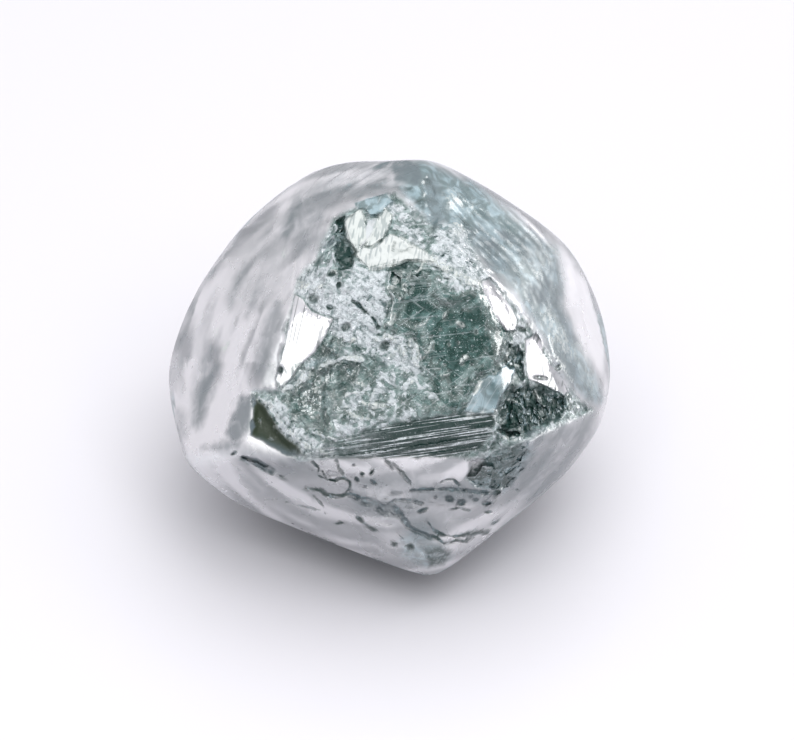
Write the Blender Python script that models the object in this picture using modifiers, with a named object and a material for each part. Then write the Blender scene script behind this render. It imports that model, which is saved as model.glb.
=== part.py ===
"""Rough diamond: one natural crystal about 7 mm across, cut from its crystal faces.

The origin is under the middle of the stone, on the flat face it rests on. +Z is up, the broken
face looks towards -Y and up, and the stone is longest along X.
"""

import itertools
import math
from typing import NamedTuple

import bmesh
import bpy
import numpy as np
from mathutils import Vector

# Driving dimensions, in millimetres and degrees
MM = 0.001
BLOCK = 14.0
CUT_TOLERANCE = 1e-4
GRAIN = 0.07
TRIANGLES = 9300
BASE_DEPTH = 2.9
BASE_CLEARANCE = 0.25
BASE_FLATNESS = 0.03

# How softly neighbouring faces meet: grown ridges are rounder than broken ones
GROWN_SOFTNESS = 0.11
BROKEN_SOFTNESS = 0.033
ROUNDING_PASSES = 4


class Face(NamedTuple):
    """A crystal face: where its normal points, and how far it lies from the stone's centre."""

    bearing: float
    lean: float
    distance: float


# Bearings turn from +Y towards +X, and leans rise from the horizon
FACES = {
    "broken_front": Face(182, 37.5, 2.95),
    "bright_left": Face(220, 33, 2.82),
    "bright_right": Face(118, 31.5, 3.20),
    "crown": Face(186.5, 74, 3.13),
    "lower_right": Face(136.5, -20.5, 3.16),
    "lower_left": Face(205.5, -21.5, 2.88),
    "lower_middle": Face(180, 3.5, 3.00),
    "striped_left": Face(248.5, 29.5, 2.73),
    "upper_left": Face(262, 47.5, 2.80),
    "summit": Face(307, 66, 3.17),
    "upper_right": Face(93.5, 53.5, 3.12),
    "teal_right": Face(106, 30.5, 3.11),
    "far_right": Face(97.5, 23.5, 3.21),
    "far_left": Face(254, 24, 2.95),
    "upper_far_left": Face(271, 44.5, 2.84),
    "under_left": Face(232, -57, 3.09),
    "under_front": Face(215, -63.5, 2.80),
    "under_front_right": Face(122, -52, 3.06),
    "under_right": Face(114.5, -46, 3.26),
    "low_right_end": Face(95.5, -27, 3.37),
    "left_end": Face(286, -4.5, 3.57),
    "low_left_end": Face(269, -38.5, 3.17),
    "right_end": Face(73, -7.5, 3.54),
    "right_shoulder": Face(48.5, 9, 3.24),
    "back_right": Face(32, 28.5, 2.92),
    "back_left": Face(332, 25.5, 2.99),
    "back_peak": Face(10, 34.5, 2.92),
    "left_shoulder_top": Face(305, 16, 3.22),
    "left_shoulder": Face(300.5, 6, 3.32),
    "back_low": Face(20, -30, 3.15),
    "back_middle": Face(5, 22, 3.10),
    "base": Face(0, -90, BASE_DEPTH),
}
SHARP_FACES = ("broken_front", "bright_left", "bright_right", "crown", "base")


class Side(NamedTuple):
    """A way of looking at the stone: where the looker stands."""

    bearing: float
    lean: float


class Hollow(NamedTuple):
    """A chip, bowl or pit: its outline across and up one side, its depth and its wall's width."""

    outline: tuple
    depth: float
    wall: float


FRONT = Side(180, 40)
BACK = Side(5, 5)

# Outlines are in millimetres across and up from the centre, seen square to their side
BROKEN_ZONE = (
    (-2.09, -0.47), (-1.69, 0.28), (-1.14, 1.47), (-0.74, 2.34), (0.14, 2.66), (1.06, 2.25),
    (1.53, 1.25), (2.04, 0.52), (2.76, -0.52), (3.27, -0.76), (2.25, -1.19), (1.63, -1.50),
    (0.21, -1.39), (-1.38, -1.47), (-2.09, -1.04),
)
BRIGHT_LEFT_PANE = ((-1.41, 1.06), (-0.82, 0.71), (-1.38, -0.04), (-1.66, -0.41))
BRIGHT_RIGHT_PANE = ((2.04, 0.40), (2.35, 0.30), (2.87, -0.56), (2.30, -0.40), (2.04, -0.10))
LEDGE_BAND = ((-1.38, -0.99), (0.14, -0.80), (1.68, -0.80), (1.63, -1.47), (-1.38, -1.47))
FRONT_HOLLOWS = {
    "bowl": Hollow(
        ((0.14, 1.39), (1.49, 1.23), (1.92, 0.44), (1.65, -0.12), (0.69, -0.12), (0.14, 0.36)), 0.16, 0.30
    ),
    "arch": Hollow(
        ((-1.12, -0.39), (-1.09, -0.09), (-0.82, 0.09), (-0.46, 0.09), (-0.33, -0.39)), 0.13, 0.14
    ),
    "olive_corner": Hollow(
        ((-2.12, -0.50), (-2.14, -1.10), (-1.60, -1.49), (-1.28, -1.39), (-1.87, -0.68)), 0.22, 0.14
    ),
    "right_chip": Hollow(
        ((1.65, -0.52), (2.04, -0.20), (2.60, -0.36), (2.76, -0.68), (2.04, -1.39)), 0.26, 0.22
    ),
    "right_fringe": Hollow(
        ((1.49, -1.47), (2.28, -1.23), (2.20, -1.87), (1.72, -2.11), (1.33, -1.87)), 0.13, 0.16
    ),
    "crown_channel": Hollow(((-0.78, 2.25), (-0.50, 2.25), (-0.44, 1.52), (-0.74, 1.45)), 0.16, 0.10),
    "left_gash": Hollow(((-2.30, -1.46), (-2.05, -1.50), (-1.80, -1.70), (-2.05, -1.68)), 0.10, 0.06),
    "summit_scoop": Hollow(((-0.95, 2.60), (-0.42, 2.60), (-0.42, 2.95), (-0.80, 2.92)), 0.10, 0.14),
    "shoulder_scoop": Hollow(((-1.60, 2.02), (-1.34, 2.08), (-1.38, 2.62), (-1.56, 2.50)), 0.08, 0.12),
    "edge_pits": Hollow(
        ((-0.62, -1.60), (-0.30, -1.80), (0.20, -2.25), (0.05, -2.40), (-0.45, -1.95)), 0.09, 0.08
    ),
    "front_gash": Hollow(((0.62, -2.40), (1.35, -2.42), (1.35, -2.53), (0.62, -2.55)), 0.08, 0.06),
}
BACK_HOLLOWS = {
    "edge_chip": Hollow(
        ((-2.30, 0.10), (-1.45, 0.45), (-1.10, 1.10), (-1.75, 1.35), (-2.45, 0.80)), 0.16, 0.22
    ),
    "low_chip": Hollow(((0.90, -1.30), (1.70, -1.05), (1.85, -1.75), (1.20, -1.95)), 0.14, 0.16),
    "large_growth_pit": Hollow(((0.05, 0.30), (0.95, 0.42), (0.40, 1.15)), 0.10, 0.25),
    "small_growth_pit": Hollow(((-0.75, -0.85), (-0.30, -0.80), (-0.56, -0.42)), 0.06, 0.14),
    "upper_growth_pit": Hollow(((1.30, 1.40), (1.72, 1.44), (1.48, 1.80)), 0.06, 0.14),
}

# The broken zone's shards and its uneven rim
SHARD_SIZES = (0.85, 0.42)
SHARD_HEIGHT = 0.12
SHARD_LEVEL = 0.7
BROKEN_RIM = (-0.05, 0.12)
PANE_RIM = (-0.08, 0.02)

# The ledges under the broken zone: how many, how high each steps, and how they climb to the right
LEDGES = 4
LEDGE_STEP = 0.06
LEDGE_RISE = 0.06
LEDGE_RIM = 0.12
RISER_START = 0.7
LEDGE_BULGE = 1.2
LEDGE_FALL = 0.6


class Grooves(NamedTuple):
    """Growth grooves of a natural face: the face they run parallel to the ridge with, and their size."""

    neighbour: str
    spacing: float
    depth: float


GROOVED_FACES = {
    "striped_left": Grooves("bright_left", 0.40, 0.030),
    "far_left": Grooves("bright_left", 0.55, 0.035),
    "upper_left": Grooves("crown", 0.45, 0.025),
    "upper_far_left": Grooves("striped_left", 0.60, 0.045),
    "summit": Grooves("crown", 0.55, 0.045),
    "upper_right": Grooves("bright_right", 0.42, 0.030),
    "teal_right": Grooves("bright_right", 0.38, 0.030),
    "back_left": Grooves("left_shoulder", 0.70, 0.035),
    "back_low": Grooves("back_left", 0.80, 0.035),
    "right_shoulder": Grooves("back_right", 0.60, 0.030),
}
RIDGE_MARGIN = 0.16
GROOVE_WALLS = (0.05, 0.42)
GROOVE_LEVEL = 0.7
GROOVE_WANDER = 0.8
WANDER_SIZE = 1.2
SWELL_SIZE = 1.7
SWELL_HEIGHT = 0.055

# How squarely the surface looks at a side before that side's marks reach it
FACING_SIDE = (0.05, 0.35)

# The steady random pattern: each mark of the surface starts its own with its salt
CORNER_STEPS = (73856093, 19349663, 83492791)
SALT_STEP = 2654435761
MIX_STEP = 0x45D9F3B
WORD = 0xFFFFFFFF
SWELL_SALT = 31
GROOVE_SALT = 40
SHARD_SALTS = (5, 16)

STONE_COLOUR = (0.27, 0.33, 0.33, 1.0)
STONE_ROUGHNESS = 0.18
STONE_IOR = 2.417


def direction(face):
    """Unit normal of a crystal face."""
    bearing = math.radians(face.bearing)
    lean = math.radians(face.lean)
    level = math.cos(lean)
    return Vector((math.sin(bearing) * level, math.cos(bearing) * level, math.sin(lean)))


def cut_crystal(name):
    """Block cut along every crystal face and given an even grain, in millimetres."""
    form = bmesh.new()
    bmesh.ops.create_cube(form, size=BLOCK)
    for face in FACES.values():
        normal = direction(face)
        cut = bmesh.ops.bisect_plane(
            form,
            geom=form.verts[:] + form.edges[:] + form.faces[:],
            dist=CUT_TOLERANCE,
            plane_co=normal * face.distance,
            plane_no=normal,
            clear_outer=True,
        )
        rim = [item for item in cut["geom_cut"] if isinstance(item, bmesh.types.BMEdge)]
        bmesh.ops.contextual_create(form, geom=rim)
    bmesh.ops.recalc_face_normals(form, faces=form.faces)
    mesh = bpy.data.meshes.new(name)
    form.to_mesh(mesh)
    form.free()

    stone = bpy.data.objects.new(name, mesh)
    collection = bpy.data.collections.new(name)
    bpy.context.scene.collection.children.link(collection)
    collection.objects.link(stone)
    grain = stone.modifiers.new("grain", "REMESH")
    grain.mode = "VOXEL"
    grain.voxel_size = GRAIN
    grain.adaptivity = 0.0
    keep_modified(stone)
    return stone


def keep_modified(stone):
    """Makes the result of the stone's modifiers its mesh."""
    depsgraph = bpy.context.evaluated_depsgraph_get()
    before = stone.data
    stone.data = bpy.data.meshes.new_from_object(stone.evaluated_get(depsgraph))
    stone.modifiers.clear()
    bpy.data.meshes.remove(before)
    stone.data.name = stone.name


def lattice_random(corner, salt):
    """Steady random number from 0 to 1 for each whole-numbered corner."""
    mixed = np.bitwise_xor.reduce(corner * np.array(CORNER_STEPS), axis=1)
    mixed = (mixed ^ salt * SALT_STEP) & WORD
    for _ in range(2):
        mixed = (mixed ^ mixed >> 16) * MIX_STEP & WORD
    return (mixed ^ mixed >> 16) / WORD


def smooth_step(value, low, high):
    """0 below low, 1 above high, and an S between them."""
    share = np.clip((value - low) / (high - low), 0.0, 1.0)
    return share * share * (3.0 - 2.0 * share)


def swelling(points, size, salt):
    """Smooth noise from -1 to 1, with lumps about size across."""
    scaled = points / size
    corner = np.floor(scaled).astype(np.int64)
    share = scaled - corner
    share = share * share * (3.0 - 2.0 * share)
    total = np.zeros(len(points))
    for offset in itertools.product((0, 1), repeat=3):
        weight = np.prod(np.where(offset, share, 1.0 - share), axis=1)
        total += weight * lattice_random(corner + offset, salt)
    return 2.0 * total - 1.0


def shards(points, size, salt):
    """Heights of flat tilted shards about size across, as a share of size."""
    scaled = points / size
    corner = np.floor(scaled).astype(np.int64)
    nearest = np.full(len(points), np.inf)
    height = np.zeros(len(points))
    for offset in itertools.product((-1, 0, 1), repeat=3):
        cell = corner + offset
        middle = np.stack([lattice_random(cell, salt + axis) for axis in range(3)], axis=1)
        away = scaled - cell - middle
        tilt = np.stack([lattice_random(cell, salt + 3 + axis) for axis in range(3)], axis=1) - 0.5
        level = lattice_random(cell, salt + 6) - 0.5 + (away * tilt).sum(axis=1)
        distance = (away * away).sum(axis=1)
        height = np.where(distance < nearest, level, height)
        nearest = np.minimum(nearest, distance)
    return height


def depth_inside(across, up, outline):
    """Distance inside an outline, in millimetres, and below zero outside it."""
    closest = np.full(len(across), np.inf)
    inside = np.zeros(len(across), dtype=bool)
    for (x0, y0), (x1, y1) in zip(outline, outline[1:] + outline[:1]):
        run, rise = x1 - x0, y1 - y0
        share = ((across - x0) * run + (up - y0) * rise) / (run * run + rise * rise)
        share = np.clip(share, 0.0, 1.0)
        gap = np.hypot(across - x0 - share * run, up - y0 - share * rise)
        closest = np.minimum(closest, gap)
        if rise:
            crosses = (y0 > up) != (y1 > up)
            inside ^= crosses & (across < x0 + run * (up - y0) / rise)
    return np.where(inside, closest, -closest)


def side_axes(side):
    """Across, up and out axes of a side, as its looker sees them."""
    out = direction(Face(side.bearing, side.lean, 0.0))
    bearing = math.radians(side.bearing)
    across = Vector((-math.cos(bearing), math.sin(bearing), 0.0))
    return np.array(across), np.array(out.cross(across)), np.array(out)


def hollowed(across, up, hollows):
    """Depth that all the hollows of a side reach at each point."""
    cut = np.zeros(len(across))
    for hollow in hollows.values():
        cut += hollow.depth * smooth_step(depth_inside(across, up, hollow.outline), 0.0, hollow.wall)
    return cut


def broken_zone(points, across, up):
    """Depth of the broken zone's tilted shards and of the ledges along its lower edge."""
    broken = smooth_step(depth_inside(across, up, BROKEN_ZONE), *BROKEN_RIM)
    for pane in (BRIGHT_LEFT_PANE, BRIGHT_RIGHT_PANE):
        broken *= 1.0 - smooth_step(depth_inside(across, up, pane), *PANE_RIM)
    ledged = smooth_step(depth_inside(across, up, LEDGE_BAND), 0.0, LEDGE_RIM)
    broken *= 1.0 - ledged
    cut = np.zeros(len(points))
    for size, salt in zip(SHARD_SIZES, SHARD_SALTS):
        cut += broken * SHARD_HEIGHT * size * (SHARD_LEVEL + shards(points, size, salt))
    heights = [height for _, height in LEDGE_BAND]
    share = (up - LEDGE_RISE * across - min(heights)) / (max(heights) - min(heights))
    climb = LEDGES * np.clip(share, 0.0, 1.0)
    tread = np.floor(climb) + smooth_step(climb % 1.0, RISER_START, 1.0)
    return cut + ledged * LEDGE_STEP * (LEDGE_BULGE - LEDGE_FALL * np.abs(tread - 0.5 * LEDGES))


def heights_over_faces(points):
    """How far each point lies outside each crystal face, one row for each face."""
    return np.stack([points @ np.array(direction(face)) - face.distance for face in FACES.values()])


def soft_top(heights, softness):
    """Greatest height at each point, made smooth, and each row's share in it."""
    top = heights.max(axis=0)
    share = np.exp((heights - top) / softness)
    total = share.sum(axis=0)
    return top + softness * np.log(total), share / total


def round_ridges(points):
    """Slides the points inward to where the faces meet in rounded ridges."""
    normals = np.stack([np.array(direction(face)) for face in FACES.values()])
    sharp = np.array([name in SHARP_FACES for name in FACES])
    for _ in range(ROUNDING_PASSES):
        heights = heights_over_faces(points)
        grown, share = soft_top(heights[~sharp], GROWN_SOFTNESS)
        grown_slope = share.T @ normals[~sharp]
        level, share = soft_top(np.vstack([grown, heights[sharp]]), BROKEN_SOFTNESS)
        slope = share[:1].T * grown_slope + share[1:].T @ normals[sharp]
        points = points - (level / (slope * slope).sum(axis=1))[:, None] * slope
    return points


def growth(points):
    """Height of the natural faces' swellings and grooves along the normal."""
    nearness = heights_over_faces(points)
    nearest = nearness.argmax(axis=0)
    next_best, best = np.sort(nearness, axis=0)[-2:]
    within = smooth_step(best - next_best, 0.0, RIDGE_MARGIN)
    height = SWELL_HEIGHT * swelling(points, SWELL_SIZE, SWELL_SALT)
    for order, (name, face) in enumerate(FACES.items()):
        grooves = GROOVED_FACES.get(name)
        if grooves is None:
            continue
        normal = direction(face)
        ridge = normal.cross(direction(FACES[grooves.neighbour])).normalized()
        place = points @ np.array(ridge.cross(normal)) / grooves.spacing
        place += GROOVE_WANDER * swelling(points, WANDER_SIZE, GROOVE_SALT + order)
        wave = smooth_step(np.abs(place % 1.0 - 0.5), *GROOVE_WALLS)
        height += np.where(nearest == order, within * grooves.depth * (wave - GROOVE_LEVEL), 0.0)
    return height


def read_points(mesh):
    """Places and normals of a mesh's points, one row each."""
    count = len(mesh.vertices)
    points = np.empty(count * 3)
    mesh.vertices.foreach_get("co", points)
    normals = np.empty(count * 3, dtype=np.float32)
    mesh.vertex_normals.foreach_get("vector", normals)
    return points.reshape(count, 3), normals.reshape(count, 3).astype(float)


def write_points(mesh, points):
    """Moves a mesh's points to new places."""
    mesh.vertices.foreach_set("co", points.ravel())
    mesh.update()


def carve(stone):
    """Rounds the stone's ridges and gives it hollows, shards, ledges, grooves and swellings."""
    points, _ = read_points(stone.data)
    write_points(stone.data, round_ridges(points))
    points, normals = read_points(stone.data)
    above_base = smooth_step(points[:, 2], -BASE_DEPTH, BASE_CLEARANCE - BASE_DEPTH)
    moved = points + (above_base * growth(points))[:, None] * normals
    for side, hollows in ((FRONT, FRONT_HOLLOWS), (BACK, BACK_HOLLOWS)):
        across_axis, up_axis, out_axis = side_axes(side)
        across = points @ across_axis
        up = points @ up_axis
        cut = hollowed(across, up, hollows)
        if side is FRONT:
            cut += broken_zone(points, across, up)
        cut *= smooth_step(normals @ out_axis, *FACING_SIDE) * (points @ out_axis > 0.0)
        moved -= (above_base * cut)[:, None] * out_axis
    write_points(stone.data, moved)


def thin_out(stone):
    """Keeps only the triangles that the stone's shape needs."""
    stone.data.calc_loop_triangles()
    thinning = stone.modifiers.new("thinning", "DECIMATE")
    thinning.ratio = TRIANGLES / len(stone.data.loop_triangles)
    keep_modified(stone)


def stand_on_base(stone):
    """Makes the resting face exactly flat, brings the stone to metres and stands it at the origin."""
    points, _ = read_points(stone.data)
    lowest = points[:, 2].min()
    points[points[:, 2] < lowest + BASE_FLATNESS, 2] = lowest
    middle = (points.min(axis=0) + points.max(axis=0)) / 2.0
    middle[2] = lowest
    write_points(stone.data, (points - middle) * MM)


def stone_material():
    """Clear grey-green crystal, glossy where its faces grew smooth."""
    material = bpy.data.materials.new("grey_green_crystal")
    material.use_nodes = True
    surface = material.node_tree.nodes["Principled BSDF"]
    surface.inputs["Base Color"].default_value = STONE_COLOUR
    surface.inputs["Roughness"].default_value = STONE_ROUGHNESS
    surface.inputs["Metallic"].default_value = 0.0
    surface.inputs["IOR"].default_value = STONE_IOR
    return material


def main():
    """Builds the stone."""
    for item in list(bpy.data.objects):
        bpy.data.objects.remove(item)
    stone = cut_crystal("rough_diamond")
    carve(stone)
    thin_out(stone)
    stand_on_base(stone)
    stone.data.materials.append(stone_material())


main()
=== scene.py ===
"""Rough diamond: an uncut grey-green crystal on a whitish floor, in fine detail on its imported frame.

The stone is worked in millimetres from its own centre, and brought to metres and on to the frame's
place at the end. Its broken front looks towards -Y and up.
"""

import functools
import itertools
import logging
import math
from collections.abc import Iterable
from dataclasses import dataclass, field
from enum import Enum
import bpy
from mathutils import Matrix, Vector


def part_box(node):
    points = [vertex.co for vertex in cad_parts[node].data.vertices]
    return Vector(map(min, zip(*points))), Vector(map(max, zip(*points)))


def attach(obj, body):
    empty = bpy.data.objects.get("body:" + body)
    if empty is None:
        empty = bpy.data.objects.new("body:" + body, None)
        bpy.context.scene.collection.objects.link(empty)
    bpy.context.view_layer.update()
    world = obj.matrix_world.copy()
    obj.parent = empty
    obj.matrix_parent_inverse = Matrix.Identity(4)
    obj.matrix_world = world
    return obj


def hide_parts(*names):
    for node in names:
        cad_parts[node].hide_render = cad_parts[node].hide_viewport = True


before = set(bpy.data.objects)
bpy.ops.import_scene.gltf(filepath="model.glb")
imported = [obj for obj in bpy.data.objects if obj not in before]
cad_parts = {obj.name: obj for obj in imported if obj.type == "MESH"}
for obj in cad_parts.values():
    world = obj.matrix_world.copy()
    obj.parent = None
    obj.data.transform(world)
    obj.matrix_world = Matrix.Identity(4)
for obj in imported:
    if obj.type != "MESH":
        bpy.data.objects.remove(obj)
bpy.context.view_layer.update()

from types import SimpleNamespace
from typing import Union

import bpy
import numpy as np
from mathutils import Matrix, Vector

MM = 0.001
NODE = "rough_diamond"
BODY = "root"

Outline = tuple[tuple[float, float], ...]
Array = np.ndarray
Number = Union[int, float]
Colour = tuple[float, float, float, float]

log = logging.getLogger("rough_diamond")


@dataclass(frozen=True)
class CrystalFace:
    """A face of the crystal: where its normal points, and its distance from the stone's centre."""

    bearing: float
    lean: float
    distance: float

    def normal(self) -> Vector:
        """Unit normal, from a bearing turned from +Y towards +X and a lean above the horizon."""
        bearing = math.radians(self.bearing)
        lean = math.radians(self.lean)
        level = math.cos(lean)
        return Vector((math.sin(bearing) * level, math.cos(bearing) * level, math.sin(lean)))


BASE_DEPTH = 2.9
FACES = {
    "broken_front": CrystalFace(182, 37.5, 2.95),
    "bright_left": CrystalFace(220, 33, 2.82),
    "bright_right": CrystalFace(118, 31.5, 3.20),
    "crown": CrystalFace(186.5, 74, 3.13),
    "lower_right": CrystalFace(136.5, -20.5, 3.16),
    "lower_left": CrystalFace(205.5, -21.5, 2.88),
    "lower_middle": CrystalFace(180, 3.5, 3.00),
    "striped_left": CrystalFace(248.5, 29.5, 2.73),
    "upper_left": CrystalFace(262, 47.5, 2.80),
    "summit": CrystalFace(307, 66, 3.17),
    "upper_right": CrystalFace(93.5, 53.5, 3.12),
    "teal_right": CrystalFace(106, 30.5, 3.11),
    "far_right": CrystalFace(97.5, 23.5, 3.21),
    "far_left": CrystalFace(254, 24, 2.95),
    "upper_far_left": CrystalFace(271, 44.5, 2.84),
    "under_left": CrystalFace(232, -57, 3.09),
    "under_front": CrystalFace(215, -63.5, 2.80),
    "under_front_right": CrystalFace(122, -52, 3.06),
    "under_right": CrystalFace(114.5, -46, 3.26),
    "low_right_end": CrystalFace(95.5, -27, 3.37),
    "left_end": CrystalFace(286, -4.5, 3.57),
    "low_left_end": CrystalFace(269, -38.5, 3.17),
    "right_end": CrystalFace(73, -7.5, 3.54),
    "right_shoulder": CrystalFace(48.5, 9, 3.24),
    "back_right": CrystalFace(32, 28.5, 2.92),
    "back_left": CrystalFace(332, 25.5, 2.99),
    "back_peak": CrystalFace(10, 34.5, 2.92),
    "left_shoulder_top": CrystalFace(305, 16, 3.22),
    "left_shoulder": CrystalFace(300.5, 6, 3.32),
    "back_low": CrystalFace(20, -30, 3.15),
    "back_middle": CrystalFace(5, 22, 3.10),
    "base": CrystalFace(0, -90, BASE_DEPTH),
}
SHARP_FACES = ("broken_front", "bright_left", "bright_right", "crown", "base")


class Side(Enum):
    """Ways of looking at the stone that its marks are laid out on: bearing and lean of the looker."""

    FRONT = (180, 40)
    BACK = (5, 5)

    def axes(self) -> tuple[Array, Array, Array]:
        """Across, up and out axes, as this side's looker sees them."""
        out = CrystalFace(*self.value, 0.0).normal()
        bearing = math.radians(self.value[0])
        across = Vector((-math.cos(bearing), math.sin(bearing), 0.0))
        return np.array(across), np.array(out.cross(across)), np.array(out)


class Zone(Enum):
    """What the finish changes by: each is kept on the mesh as a share from 0 to 1."""

    BROKEN = "broken"
    FROSTED = "frosted"
    WINDOW = "window"
    POLISHED = "polished"
    # Painted highlight, with some whitish tone: glints, rims, bumps, the crown's panes and bright patches
    PALE = "pale"
    # Painted shade in chips, slots, pits and cracks
    DARK = "dark"
    OLIVE = "olive"
    # Painted shade on the underside and in patches, and dull tone on the hidden sides
    DUSKY = "dusky"
    TEAL = "teal"
    # Ledges: painted shade between them and painted highlight along their edges
    LEDGED = "ledged"
    # Streaks, with painted light on the limbs and painted shade low on the front
    STREAKED = "streaked"
    # Raised or sunk against the smoothed skin: the finish paints highlight on crests and shade in creases by
    # it
    CREST = "crest"


@dataclass(frozen=True)
class Hollow:
    """A chip, bowl or scoop: its outline on its side, depth, wall, the darkness of the painted shade on its
    floor, and splinters.
    """

    outline: Outline
    depth: float
    wall: float
    # Share of painted shade on the hollow's floor
    dark: float = 1.0
    splinters: float = 0.0


@dataclass(frozen=True)
class Pit:
    """A dash-shaped etch pit: its middle, length, width, turn in degrees and depth."""

    across: float
    up: float
    length: float
    width: float
    turn: float
    depth: float


@dataclass(frozen=True)
class Crack:
    """A crack, etched channel or glint: the points it runs through, its width and depth."""

    line: Outline
    width: float
    depth: float = 0.0


@dataclass(frozen=True)
class Patch:
    """A stained patch, or a patch of painted shade or painted highlight: its zone, its share there, its soft
    border and its outline.
    """

    zone: Zone
    share: float
    border: float
    outline: Outline


@dataclass(frozen=True)
class Grooves:
    """Growth grooves of a natural face, parallel to its ridge with a neighbour."""

    neighbour: str
    spacing: float
    depth: float


@dataclass(frozen=True)
class Pane:
    """A smooth facet of the break: its outline, its tilt across and up, its tints (a painted highlight and
    teal) and its polish.
    """

    outline: Outline
    tilt: tuple[float, float] = (0.0, 0.0)
    # Share of the pane painted light as a highlight
    pale: float = 0.0
    teal: float = 0.0
    polish: float = 1.0


def outline(*hundredths: int) -> Outline:
    """Corners from numbers across and up by turns, in hundredths of a millimetre."""
    return tuple((across / 100.0, up / 100.0) for across, up in zip(hundredths[::2], hundredths[1::2]))


# Outlines and lines are given in hundredths of a millimetre across and up from the stone's centre, seen
# square to their side
BROKEN_ZONE: Outline = outline(
    -209, -47, -172, -42, -160, 28, -144, 106, -140, 130, -110, 162, -84, 228, 14, 266, 69, 220, 120, 210,
    153, 145, 225, 60, 276, -32, 327, -76, 225, -119, 163, -150, 21, -142, -138, -152, -209, -104,
)
PANES: dict[str, Pane] = {
    "bright_left": Pane(outline(
        -142, 106, -131, 98, -117, 79, -83, 68, -93, 44, -110, 17, -134, -4, -147, -25, -165, -41,
        -171, -28, -158, 28,
    )),
    "bright_right": Pane(outline(
        218, 35, 235, 46, 243, 34, 246, 15, 255, 0, 266, -12, 279, -26, 287, -45, 280, -52, 260, -42,
        240, -32, 222, -26, 218, 0,
    ), tilt=(-0.17, 0.2)),
    "right_band": Pane(outline(
        144, 124, 160, 132, 178, 110, 194, 88, 204, 66, 202, 50, 186, 48, 175, 64, 160, 90,
    ), tilt=(-0.17, 0.2), polish=0.7),
    # The crown's panes are painted light as a highlight
    "crown_wedge": Pane(outline(
        -64, 220, -40, 240, -32, 225, -34, 195, -47, 172, -60, 195,
    ), tilt=(0.03, -0.03), pale=1.0),
    "crown_yellow": Pane(outline(
        -32, 225, -12, 225, -22, 198, -36, 180, -46, 173, -34, 195,
    ), tilt=(0.03, 0.03), pale=0.25, teal=0.4, polish=0.5),
    "crown_stripe": Pane(outline(
        -12, 225, -2, 240, 7, 230, 3, 210, -2, 195, -20, 179, -36, 180, -22, 198,
    ), tilt=(-0.03, 0.0), pale=0.95),
    "crown_panel": Pane(outline(
        -2, 195, 5, 202, 22, 195, 60, 172, 78, 156, 30, 158, 10, 152, -26, 145, -48, 166, -36, 180,
        -20, 179,
    ), pale=0.85, polish=0.6),
    "crown_teal": Pane(outline(
        -48, 248, -30, 255, 0, 262, 10, 252, 0, 245, -5, 237, -16, 230, -26, 230, -33, 240, -44, 241,
    ), tilt=(0.0, 0.1), teal=1.0, polish=0.2),
    "teal_pane": Pane(outline(
        122, -76, 135, -50, 147, -28, 160, -20, 172, -22, 180, -8, 195, 2, 200, -10, 195, -30, 180, -50,
        172, -70, 168, -80, 140, -80,
    ), tilt=(-0.1, 0.1), teal=0.9, polish=0.3),
}
FROSTED: tuple[tuple[float, Outline], ...] = (
    (1.0, outline(
        -145, 110, -135, 135, -115, 150, -85, 132, -62, 120, -55, 145, -25, 150, 0, 142, -2, 120, 5, 100,
        0, 75, -8, 52, -14, 34, -20, 15, -45, 30, -75, 42, -90, 55, -95, 68, -110, 62, -125, 78, -130, 95,
    )),
    (0.9, outline(
        72, 172, 85, 198, 109, 214, 145, 166, 174, 126, 209, 71, 228, 39, 204, 33, 192, 48, 160, 110,
        135, 114, 105, 112, 94, 118, 86, 138, 69, 150,
    )),
    (1.0, outline(-14, 34, 5, 44, 28, 44, 40, 28, 48, 15, 42, 0, 60, -18, 30, -20, 10, -5, -10, 10)),
    (0.8, outline(
        -45, -35, -20, -12, 5, -5, 30, -15, 65, -20, 72, -45, 95, -72, 60, -85, 0, -95, -60, -115,
        -85, -105, -85, -75, -60, -50,
    )),
    (0.85, outline(
        -198, -56, -179, -56, -153, -86, -128, -108, -90, -130, -103, -152, -138, -152, -163, -123,
        -185, -88,
    )),
    (0.45, outline(-20, 245, 14, 262, 40, 230, 66, 195, 60, 176, 30, 195, 10, 230)),
)
LEDGE_BAND: Outline = outline(
    -138, -149, -90, -123, -42, -107, 21, -91, 85, -82, 133, -79, 168, -79, 171, -91, 165, -117, 145, -139,
    85, -149, 9, -150, -74, -152, -138, -152,
)
RIPPLED_LEDGE: Outline = FROSTED[4][1]
WINDOW: Outline = outline(
    0, 142, 30, 146, 60, 142, 82, 134, 90, 115, 105, 108, 135, 110, 152, 112, 164, 98, 176, 78, 188, 56,
    192, 40, 184, 18, 178, 0, 166, -18, 142, -26, 132, -48, 120, -74, 95, -72, 75, -52, 72, -30, 60, -14,
    44, 0, 50, 18, 38, 42, 10, 48, -8, 52, 2, 75, 6, 100, -2, 120,
)
MOTTLED: Outline = outline(
    -163, -50, -138, -34, -110, -10, -70, 6, -30, 5, 0, -10, 40, -20, 70, -25, 120, -74, 110, -85, 20, -92,
    -60, -112, -100, -120, -135, -98, -157, -74,
)
CLEAR_LOBES: tuple[Outline, ...] = (
    outline(
        -152, -50, -135, -34, -115, -12, -70, 3, -34, 4, -45, -30, -85, -48, -90, -75, -90, -102, -120, -98,
        -145, -80,
    ),
    outline(-108, 10, -95, 34, -72, 42, -70, 20, -75, 8),
    outline(15, -50, 60, -42, 80, -72, 30, -68),
)
TEAL_SUGAR: Outline = outline(
    21, 303, 53, 317, 133, 281, 200, 230, 238, 193, 266, 180, 274, 138, 273, 91, 301, 27, 325, -20,
    340, -60, 316, -56, 285, -21, 245, 45, 205, 105, 165, 150, 120, 201, 85, 201, 53, 234, 29, 266,
)
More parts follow.
